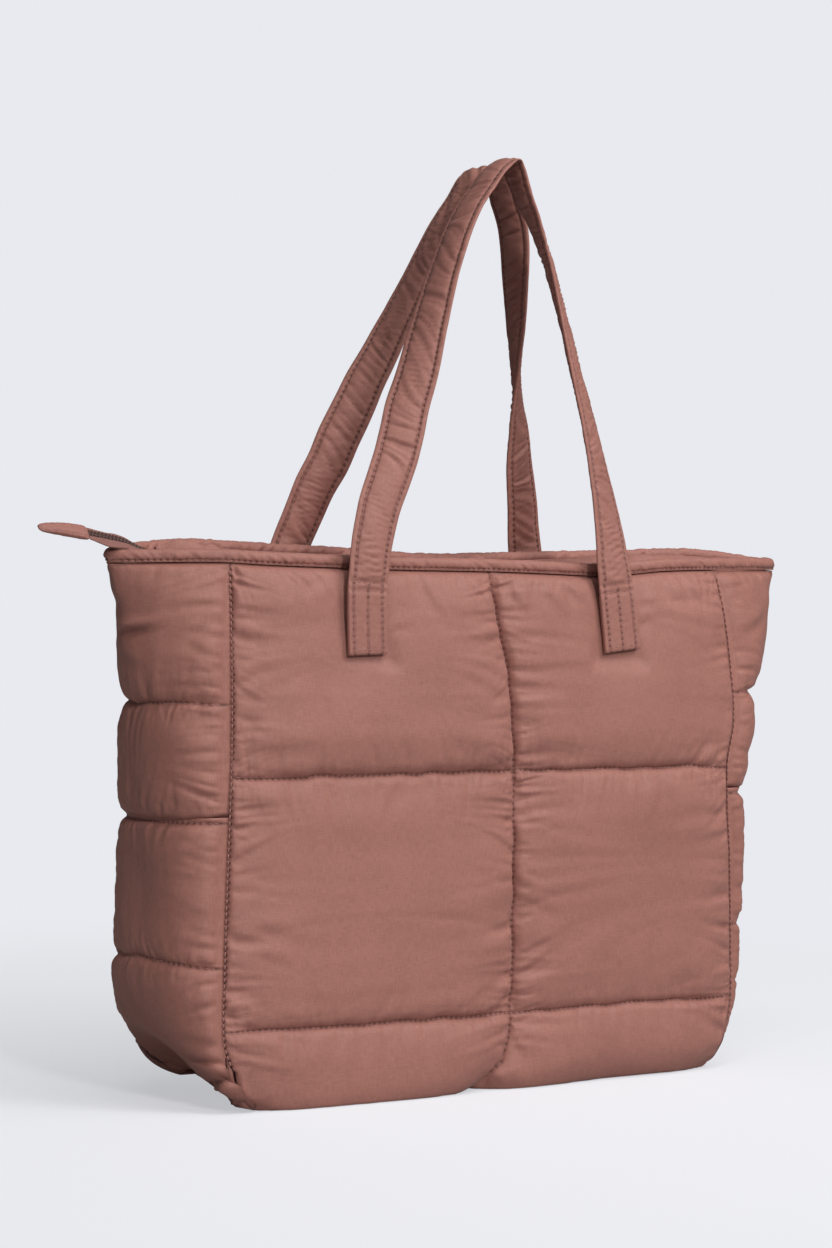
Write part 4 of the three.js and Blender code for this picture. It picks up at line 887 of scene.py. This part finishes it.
def handle(name, rows, seed, step=1.0):
    P, turn = spline(rows)
    s = np.concatenate([[0], np.cumsum(np.linalg.norm(np.diff(P, axis=0), axis=1))])
    n = int(s[-1] / step)
    at = np.linspace(0, s[-1], n)
    P = np.stack([np.interp(at, s, P[:, i]) for i in range(3)], -1)
    turn = np.interp(at, s, turn)

    def ease(c, mm_):
        g = np.exp(-0.5 * (np.arange(-int(3 * mm_ / step), int(3 * mm_ / step) + 1) * step / mm_) ** 2); g /= g.sum()
        r = len(g) // 2
        ext = np.concatenate([2 * c[0] - c[r:0:-1], c, 2 * c[-1] - c[-2:-r - 2:-1]])
        return np.convolve(ext, g, "valid")
    peak = at[P[:, 2].argmax()]
    bend = np.exp(-((at - peak) / 24) ** 4)[:, None]
    foot = smooth((P[:, 2:3] - 322) / 40)
    near = np.stack([ease(P[:, i], 9.0) for i in range(3)], -1)
    easy = np.stack([ease(P[:, i], 20.0) for i in range(3)], -1)
    tight = np.stack([ease(P[:, i], 1.2) for i in range(3)], -1)
    easy = near + (easy - near) * foot
    P = easy + (tight - easy) * bend
    turn = ease(turn, 18.0) + (ease(turn, 3.0) - ease(turn, 18.0)) * bend[:, 0]
    t = np.gradient(P, axis=0); t /= np.linalg.norm(t, axis=1, keepdims=True)
    a = np.radians(turn)
    w = np.stack([np.cos(a), np.sin(a), 0 * a], -1)
    w -= t * (w * t).sum(1, keepdims=True); w /= np.linalg.norm(w, axis=1, keepdims=True)
    nr = np.cross(w, t); nr /= np.linalg.norm(nr, axis=1, keepdims=True)
    # cross section: across goes once round, from one edge over the face to the other and back
    e = np.array([0, 0.35, 0.9, 1.7, 2.6, 3.4, 4.0, 4.6, 5.6, 7.2, 9.4, 11.6, 14.0])
    across = np.concatenate([-14 + e, (14 - e)[::-1][1:]])
    top = across; m = len(top)
    hw = STRAP_W / 2
    sewn = smooth((P[:, 2] - 314) / 9)              # 0 on the sewn ends, 1 on the free strap

    def half(wv):
        aw = np.abs(wv)
        margin = 1.35 * np.sqrt(np.clip(1 - np.power(np.clip((aw - 10.0) / 4.05, 0, 1), 3), 0.0, 1))
        pil = 0.80 + 2.35 * np.power(np.clip(1 - np.power(aw / 10.0, 2.4), 0, 1), 0.62)
        return np.where(aw > 10.0, margin, pil)
    free = half(top)
    lines = np.minimum(np.abs(np.abs(top) - 10.2), np.abs(top))
    flat = 1.5 * np.sqrt(np.clip(1 - np.power(np.clip((np.abs(top) - 12.9) / 1.15, 0, 1), 2.5), 0, 1)) * (0.86 + 0.24 * smooth(lines / 3.0))
    H = free[None] * sewn[:, None] + flat[None] * (1 - sewn[:, None])
    # The free strap ends in two rows of stitches over the top of the sewn end.
    cross_at = (P[:, 2] > 300) & (P[:, 2] < 325)
    for zc in (319.5, 314.5):
        H *= 1 - 0.42 * np.exp(-((P[:, 2] - zc) / 1.5) ** 2)[:, None]
    apex = np.exp(-((at - peak) / 26) ** 2)
    H *= 1 - 0.50 * np.exp(-((at - peak) / 7) ** 2)[:, None]      # the padding is pinched in the fold
    out = []
    for side in (1, -1):
        sd = seed + (0 if side > 0 else 50)
        S = at[:, None] + 0.55 * top[None] * line_noise(at, 90, sd + 9)[:, None]
        body = np.power(np.clip(1 - (np.abs(top) / 10.2) ** 2, 0, 1), 0.7)[None]
        dl = np.abs(np.abs(top) - 10.2)[None]
        lean = top[None] * (0.9 + 0.5 * line_noise(at, 70, sd + 8)[:, None])
        k = 0.18 * line_noise(S, 14, sd) * body + 0.62 * line_noise(S + lean, 4.2, sd + 1) * body
        k += -1.5 * (np.exp(-(line_noise(S + lean, 5.4, sd + 2) / 0.32) ** 2) - 0.25) * body * np.exp(-dl / 5.0)
        k += -0.50 * (np.exp(-(line_noise(S - lean, 13, sd + 6) / 0.26) ** 2) - 0.2) * body
        k += 0.16 * line_noise(S + 500 * (top[None] > 0), 5.2, sd + 3) * (dl / 1.6) * np.exp(1 - dl / 1.6)
        k += apex[:, None] * 0.20 * line_noise(S, 11, sd + 5) * body
        k = np.where(k > 0, 0.45 * np.tanh(k / 0.45), k)
        k *= (0.25 + 0.75 * sewn)[:, None]
        hole = np.exp(-(dl / 0.8) ** 2) * np.cos(2 * np.pi * at / PITCH)[:, None]
        k -= 0.10 * hole
        taper = np.clip((hw - np.abs(top)) / 1.2, 0, 1)[None]
        out.append(side * (H + k * taper))
    wob = 0.35 * line_noise(at, 40, seed + 20) * sewn
    narrow = 1 - 0.06 * apex
    face = P[:, None] + w[:, None] * (top[None, :, None] * narrow[:, None, None] + wob[:, None, None]) + nr[:, None] * out[0][..., None]
    back = P[:, None] + w[:, None] * (top[None, :, None] * narrow[:, None, None] + wob[:, None, None]) + nr[:, None] * out[1][..., None]
    ring = np.concatenate([face, back[:, ::-1][:, 1:-1]], axis=1)
    mm = ring.shape[1]
    # Round both cut ends.
    for i, k in ((0, 0.55), (1, 0.85), (-1, 0.55), (-2, 0.85)):
        ring[i] = P[i] + w[i] * ((ring[i] - P[i]) @ w[i])[:, None] + nr[i] * ((ring[i] - P[i]) @ nr[i] * k)[:, None]
    V, q, tr = tube(ring, False)
    ww = np.concatenate([top, top[::-1][1:-1]])
    cloth = np.zeros((len(V), 3)); cloth[:len(at) * mm] = np.stack([np.tile(ww, len(at)) + seed * 10, np.repeat(at, mm), 0 * np.repeat(at, mm)], -1)
    seam = np.tile([50.0, 0, 0], (len(V), 1))
    dseam = np.abs(np.abs(ww) - 10.2)[None] + 0 * at[:, None]
    dmid = np.where((1 - sewn[:, None]) > 0.5, np.minimum(dseam, np.abs(ww)[None]), dseam)
    seam[:len(at) * mm] = np.stack([dmid.ravel(), np.repeat(at, mm), np.ones(len(at) * mm)], -1)
    ob = build(name, V, q, tr, M_STRAP, cloth, seam)
    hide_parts(name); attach(ob, "root")
    # Stitches: both edges on both faces, the middle of the sewn ends and their cross rows.
    jl = int(np.abs(top + 10.2).argmin()); jr = int(np.abs(top - 10.2).argmin()); jm = int(np.abs(top).argmin())
    for j in (jl, jr):
        sew("straps", face[2:-2, j], nr[2:-2], lift=0.10)
        sew("straps", back[2:-2, j], -nr[2:-2], lift=0.10)
    outer = face if (nr[3] @ np.array([0, np.sign(rows[0, 1]), 0])) > 0 else back
    sgn = 1 if outer is face else -1
    for rows_i in (np.where((P[:, 2] < 314) & (at < 80))[0], np.where((P[:, 2] < 314) & (at > at[-1] - 80))[0]):
        if len(rows_i) > 4:
            sew("straps", outer[rows_i[2]:rows_i[-1], jm], sgn * nr[rows_i[2]:rows_i[-1]], lift=0.12)
            zs = P[rows_i, 2]
            low_i = rows_i[np.abs(zs - (zs.min() + 3.2)).argmin()]
            sew("straps", outer[low_i, 3:-3], np.tile(sgn * nr[low_i], (m - 6, 1)), lift=0.14)
    for first in (True, False):
        for zc in (319.5, 314.5):
            cand = np.where(at < 90)[0] if first else np.where(at > at[-1] - 90)[0]
            i = cand[np.abs(P[cand, 2] - zc).argmin()]
            sew("straps", outer[i, 3:-3], np.tile(sgn * nr[i], (m - 6, 1)), lift=0.14)
    return ob


# ------------------------------------------------------------------ zip and facings
def zip_col(k, x):
    return read(ZIP[:, 0], ZIP[:, k], x)


def zip_frame(x):
    c = np.stack([x, zip_col(1, x), zip_col(2, x)], -1)
    a = np.radians(zip_col(3, x))
    w = np.stack([0 * a, np.cos(a), np.sin(a)], -1)
    n = np.stack([0 * a, -np.sin(a), np.cos(a)], -1)
    return c, w, n


def rim_half(x):
    k = np.linspace(0, 1, 4001)
    xx, yy = rim_xy(k, 1)
    return np.interp(x, xx, yy)


def facing(name, side, seed):
    xs = np.linspace(-224, 224, 260)
    f = np.linspace(0, 1, 16)
    F, X = np.meshgrid(f, xs)
    y0 = rim_half(X) - BINDING_W / 2 - 1.0
    y1 = ZIP_W / 2 + 5.0 + 0.3
    zz = zip_col(2, X); zr = rim_top(X, side) - 5.5
    hump = 0 * X
    if side < 0:
        for c, wd, h in ((-206, 15, 9.0), (-188, 9, 4.5), (-2, 9, 7.0), (150, 34, 6.5), (122, 10, 2.0)):
            hump = hump + h * np.exp(-((X - c) / wd) ** 2)
    z = zr + (zz + 0.8 - zr) * F + (hump + 1.4) * np.sin(np.pi * (F * 0.93 + 0.07))
    amp = np.sin(np.pi * np.clip(F, 0, 1)) ** 0.7
    z += amp * (0.6 * line_noise(X + 12 * F, 18, seed) + 0.35 * line_noise(X - 8 * F, 9, seed + 1)) + 0.3 * amp * grid_noise(X.shape, (4, 3), seed + 2)
    Y = side * (y0 + (y1 - y0) * F)
    up = np.stack([X, Y, z], -1); dn = np.stack([X, Y, z - 1.3], -1)
    verts, quads, tris = shell(up, dn)
    cloth = np.concatenate([np.stack([X, Y, 0 * X], -1).reshape(-1, 3)] * 2)
    seam = np.stack([np.abs(F - 0.9) * 25, X + 300, np.ones_like(X)], -1).reshape(-1, 3)
    ob = build(name, verts, quads, tris, M_TRIM, cloth, np.concatenate([seam, seam]))
    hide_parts(name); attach(ob, "root")
    N = grid_normals(up); N = N * np.sign(N[..., 2:3].mean())
    j = int(np.abs(f - 0.9).argmin())
    sew("zip", up[3:-3, j], N[3:-3, j])


def tape(name, side):
    xs = np.concatenate([np.linspace(-266, -205, 50), np.linspace(-203, 229, 150)])
    c, w, n = zip_frame(xs)
    a = side * (ZIP_W / 2 - 0.5)
    width = zip_col(4 if side < 0 else 5, xs)
    prof = np.array([0, 0.25, 0.5, 0.75, 1.0])
    p = a + (side * (ZIP_W / 2 + width) - a)[:, None] * prof[None]
    wave = 0.18 * line_noise(xs, 12, 88 + side)[:, None] * prof[None]
    up = c[:, None] + w[:, None] * p[..., None] + n[:, None] * (0.35 + wave)[..., None]
    dn = c[:, None] + w[:, None] * p[..., None] + n[:, None] * (-0.35 + wave)[..., None]
    ring = np.concatenate([up, dn[:, ::-1]], axis=1)
    V, q, tr = tube(ring, False)
    k = len(xs) * 10
    cloth = np.zeros((len(V), 3)); cloth[:k] = np.stack([np.repeat(xs, 10), np.concatenate([p, p[:, ::-1]], 1).ravel(), np.zeros(k)], -1)
    ob = build(name, V, q, tr, M_TAPE, cloth)
    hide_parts(name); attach(ob, "root")


def coil():
    """Interlocked coil: small rounded links across the middle, from both sides in turn."""
    pitch = 1.25
    path = np.linspace(-266, 229, 2000)
    c, _, _ = zip_frame(path)
    s = np.concatenate([[0], np.cumsum(np.linalg.norm(np.diff(c, axis=0), axis=1))])
    n = int(s[-1] / pitch)
    xs = np.interp(np.arange(n) * pitch, s, path)
    c, w, nn = zip_frame(xs)
    t = np.cross(w, nn)
    # one link: a bar 4.6 wide, bulging at its outer end
    u = np.array([-0.5, -0.46, -0.3, 0.1, 0.42, 0.5])
    rad = np.array([0.25, 0.52, 0.60, 0.50, 0.40, 0.18])
    ang = np.arange(6) * np.pi / 3
    flip = np.where(np.arange(n) % 2 == 0, 1.0, -1.0)
    across = (u[None] * 4.3 * flip[:, None]) + flip[:, None] * -0.45
    up = 0.55 * np.cos(np.pi * u)[None] + 0 * across
    P = c[:, None] + w[:, None] * across[..., None] + nn[:, None] * (up[..., None] + 0.15)
    ring = P[:, :, None] + (t[:, None, None] * np.cos(ang)[None, None, :, None] + nn[:, None, None] * np.sin(ang)[None, None, :, None]) * rad[None, :, None, None]
    V = ring.reshape(-1, 3)
    q = []; tr = []
    for i in range(5):
        for j in range(6):
            k = (j + 1) % 6
            q.append([i * 6 + j, i * 6 + k, i * 6 + 6 + k, i * 6 + 6 + j])
    for j in range(1, 5):
        tr.append([0, j + 1, j]); tr.append([30, 30 + j, 30 + j + 1])
    b = (np.arange(n) * 36)[:, None, None]
    quads = (b + np.array(q)[None]); tris = (b + np.array(tr)[None])
    quads[1::2] = quads[1::2, :, ::-1]; tris[1::2] = tris[1::2, :, ::-1]
    # The cord inside the coil closes it along its whole length.
    xs2 = np.linspace(-266, 229, 180)
    c2, w2, n2 = zip_frame(xs2)
    rg = c2[:, None] + w2[:, None] * (np.cos(ang) * 1.9)[None, :, None] + n2[:, None] * (np.sin(ang) * 0.45)[None, :, None]
    V2, q2, t2 = tube(rg, False)
    cloth = np.zeros((len(V) + len(V2), 3)); cloth[:len(V), 0] = np.repeat(np.arange(n), 36) * 1.3
    allv = np.concatenate([V, V2])
    ob = build("zip_coil", allv, np.concatenate([quads.reshape(-1, 4), q2 + len(V)]), np.concatenate([tris.reshape(-1, 3), t2 + len(V)]), M_COIL, cloth)
    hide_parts("zip_coil"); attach(ob, "root")


def end_tab():
    a = math.radians(TAB["tilt"])
    w = np.array([0, math.cos(a), math.sin(a)]); n = np.array([0, -math.sin(a), math.cos(a)])
    f = np.linspace(0, 1, 46)
    hw = read([0, 0.05, 0.3, 0.6, 0.85, 0.96, 1], [4.8, 5.4, 5.2, 4.4, 3.6, 2.7, 1.6], f)
    ht = read([0, 0.06, 0.2, 0.6, 0.9, 1], [1.6, 2.4, 2.9, 2.6, 1.7, 0.8], f)
    cx = TAB["x0"] + (TAB["x1"] - TAB["x0"]) * f
    cz = TAB["z0"] + (TAB["z1"] - TAB["z0"]) * f + 0.5 * np.sin(np.pi * f)
    C = np.stack([cx, 0 * cx + TAB["y"], cz], -1)
    m = 40
    ang = np.arange(m) * 2 * np.pi / m
    ca, sa = np.cos(ang), np.sin(ang)
    A = np.sign(ca) * np.abs(ca) ** 0.85; Bv = np.sign(sa) * np.abs(sa) ** 0.75
    edge = np.exp(-((np.abs(ca) - 0.80) / 0.09) ** 2)
    ln = 0.18 * line_noise((f * 33)[:, None] + 3 * A[None], 7, 131) + 0.14 * line_noise((f * 33)[:, None] - 4 * A[None], 4.5, 132)
    hh = ht[:, None] * Bv[None] * (1 - 0.28 * edge[None]) + ln * np.sign(Bv)[None] * np.abs(Bv)[None]
    fold = np.exp(-((A[None] * 1.0 - (0.45 - 0.8 * f[:, None])) / 0.10) ** 2) * (Bv[None] > 0)
    hh = hh - 0.45 * fold
    ring = C[:, None] + w[None, None] * (A[None] * hw[:, None])[..., None] + n[None, None] * hh[..., None]
    V, q, tr = tube(ring, False)
    cloth = np.zeros((len(V), 3)); cloth[:46 * m] = np.stack([np.repeat(f * 33, m), np.tile(A * 6, 46) + 70, np.zeros(46 * m)], -1)
    ob = build("zip_end_tab", V, q, tr, M_TRIM, cloth)
    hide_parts("zip_end_tab"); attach(ob, "root")
    for j in (int(np.argmin(np.abs(ang - math.acos(0.80)))), int(np.argmin(np.abs(ang - (math.pi - math.acos(0.80)))))):
        sew("zip", ring[2:-4, j], np.tile(n, (len(f) - 6, 1)), lift=0.15, r=0.3)


panel("front_panel", -1, STEP, FOLDS_FRONT, M_SHELL)
panel("back_panel", 1, STEP * 1.15, FOLDS_REAR, M_SHELL)
for hand in (-1, 1):
    gusset(hand, M_SIDE)
    pocket(hand, M_SIDE)
base()
binding()
handle("handle_front", HANDLE_FRONT, 31)
handle("handle_back", HANDLE_REAR, 63)
facing("zip_facing_front", -1, 141)
facing("zip_facing_back", 1, 151)
tape("zip_tape_front", -1)
tape("zip_tape_back", 1)
coil()
end_tab()
for ob in build_threads(M_THREAD):
    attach(ob, "root")


# ------------------------------------------------------------------ studio
def backdrop():
    """Round floor of pale paper that fades into the pale surroundings."""
    rad = np.array([0.0, 250, 500, 800, 1100, 1400, 1700]); m = 96
    ang = np.arange(m) * 2 * np.pi / m
    V = [(0, 0, 0)]
    for r in rad[1:]:
        V += [(r * math.cos(t), r * math.sin(t), 0) for t in ang]
    V = np.array(V, float)
    tris = [(0, 1 + j, 1 + (j + 1) % m) for j in range(m)]
    q = []
    for i in range(len(rad) - 2):
        for j in range(m):
            k = (j + 1) % m
            q.append((1 + i * m + j, 1 + (i + 1) * m + j, 1 + (i + 1) * m + k, 1 + i * m + k))
    mat = bpy.data.materials.new("studio_paper")
    nt = nodes_of(mat)
    out = nt.nodes.new("ShaderNodeOutputMaterial"); b = nt.nodes.new("ShaderNodeBsdfPrincipled")
    glow = nt.nodes.new("ShaderNodeEmission"); glow.inputs["Color"].default_value = (*PAPER, 1)
    mix = nt.nodes.new("ShaderNodeMixShader")
    geo = nt.nodes.new("ShaderNodeNewGeometry")
    far = nt.nodes.new("ShaderNodeVectorMath"); far.operation = "LENGTH"
    ramp = nt.nodes.new("ShaderNodeMapRange"); ramp.interpolation_type = "SMOOTHSTEP"
    nt.links.new(geo.outputs["Position"], far.inputs[0])
    nt.links.new(far.outputs["Value"], ramp.inputs["Value"])
    ramp.inputs["From Min"].default_value = 0.30; ramp.inputs["From Max"].default_value = 1.15
    ramp.inputs["To Min"].default_value = 0.0
    nt.links.new(ramp.outputs["Result"], mix.inputs["Fac"])
    nt.links.new(b.outputs[0], mix.inputs[1]); nt.links.new(glow.outputs[0], mix.inputs[2])
    dim = nt.nodes.new("ShaderNodeBsdfDiffuse"); dim.inputs["Color"].default_value = (0.42, 0.415, 0.42, 1)
    seen = nt.nodes.new("ShaderNodeLightPath"); pick = nt.nodes.new("ShaderNodeMixShader")
    nt.links.new(seen.outputs["Is Camera Ray"], pick.inputs["Fac"])
    nt.links.new(dim.outputs[0], pick.inputs[1]); nt.links.new(mix.outputs[0], pick.inputs[2])
    nt.links.new(pick.outputs[0], out.inputs[0])
    b.inputs["Base Color"].default_value = (0.38, 0.385, 0.40, 1)
    b.inputs["Emission Color"].default_value = (*PAPER, 1)
    b.inputs["Emission Strength"].default_value = 0.60
    b.inputs["Roughness"].default_value = 0.9
    b.inputs["Specular IOR Level"].default_value = 0.1
    ob = build("studio_floor", V, np.array(q), np.array(tris), mat, flip=False)


PAPER = (0.812, 0.822, 0.863)
backdrop()


def light(name, loc, aim, size, power, colour=(1, 1, 1), size_y=None):
    d = bpy.data.lights.new(name, "AREA")
    d.shape = "RECTANGLE"; d.size = size; d.size_y = size_y or size
    d.energy = power; d.color = colour
    o = bpy.data.objects.new(name, d)
    bpy.context.scene.collection.objects.link(o)
    o.location = loc
    v = np.array(aim, float) - np.array(loc, float)
    from mathutils import Vector
    o.rotation_euler = Vector(v).to_track_quat("-Z", "Y").to_euler()
    return o


def sun(name, towards, angle, power, colour=(1, 1, 1)):
    from mathutils import Vector
    d = bpy.data.lights.new(name, "SUN")
    d.energy = power; d.angle = math.radians(angle); d.color = colour
    o = bpy.data.objects.new(name, d)
    bpy.context.scene.collection.objects.link(o)
    o.location = towards
    o.rotation_euler = (-Vector(towards)).to_track_quat("-Z", "Y").to_euler()
    return o


sun("key_light", (-0.11, -1.0, 0.42), 9, 1.27, (1.0, 0.985, 0.965))
sun("side_light", (-0.45, -0.50, 0.95), 20, 0.42, (1.0, 0.985, 0.97))
sun("low_light", (-1.0, -0.30, 0.07), 40, 0.22, (1.0, 0.99, 0.985))
sun("top_light", (0.35, -0.55, 1.6), 45, 1.20, (1.0, 0.99, 0.975))
light("near_light", (0.55, -1.05, 1.30), (0.1, 0, 0.50), 0.6, 10.0, (1.0, 0.985, 0.965))
world = bpy.data.worlds.new("studio")
bpy.context.scene.world = world
world.use_nodes = True
wt = world.node_tree
bg = wt.nodes["Background"]
bg.inputs[0].default_value = (*PAPER, 1)
seen = wt.nodes.new("ShaderNodeLightPath")
power = wt.nodes.new("ShaderNodeMapRange")
power.inputs["To Min"].default_value = 0.06; power.inputs["To Max"].default_value = 1.0
wt.links.new(seen.outputs["Is Camera Ray"], power.inputs["Value"])
wt.links.new(power.outputs["Result"], bg.inputs[1])


# ------------------------------------------------------------------ camera
def camera():
    from mathutils import Matrix
    a = math.radians(-33.0); e = math.radians(1.097); roll = math.radians(0.825)
    back = np.array([math.sin(a) * math.cos(e), -math.cos(a) * math.cos(e), math.sin(e)])
    right = np.array([math.cos(a), math.sin(a), 0.0])
    up = np.cross(right, -back)
    R = right * math.cos(roll) + up * math.sin(roll)
    U = -right * math.sin(roll) + up * math.cos(roll)
    cam = bpy.data.cameras.new("camera")
    ob = bpy.data.objects.new("camera", cam)
    bpy.context.scene.collection.objects.link(ob)
    M = Matrix.Identity(4)
    for i in range(3):
        M[i][0] = R[i]; M[i][1] = U[i]; M[i][2] = back[i]
    M[0][3], M[1][3], M[2][3] = -1.2751, -1.9196, 0.3365
    ob.matrix_world = M
    cam.sensor_fit = "VERTICAL"
    cam.sensor_height = 36.0
    cam.lens = 3590.9 / 1248.0 * 36.0
    cam.clip_end = 50
    bpy.context.scene.camera = ob


camera()
bpy.context.scene.view_settings.view_transform = "Standard"
bpy.context.scene.view_settings.look = "None"
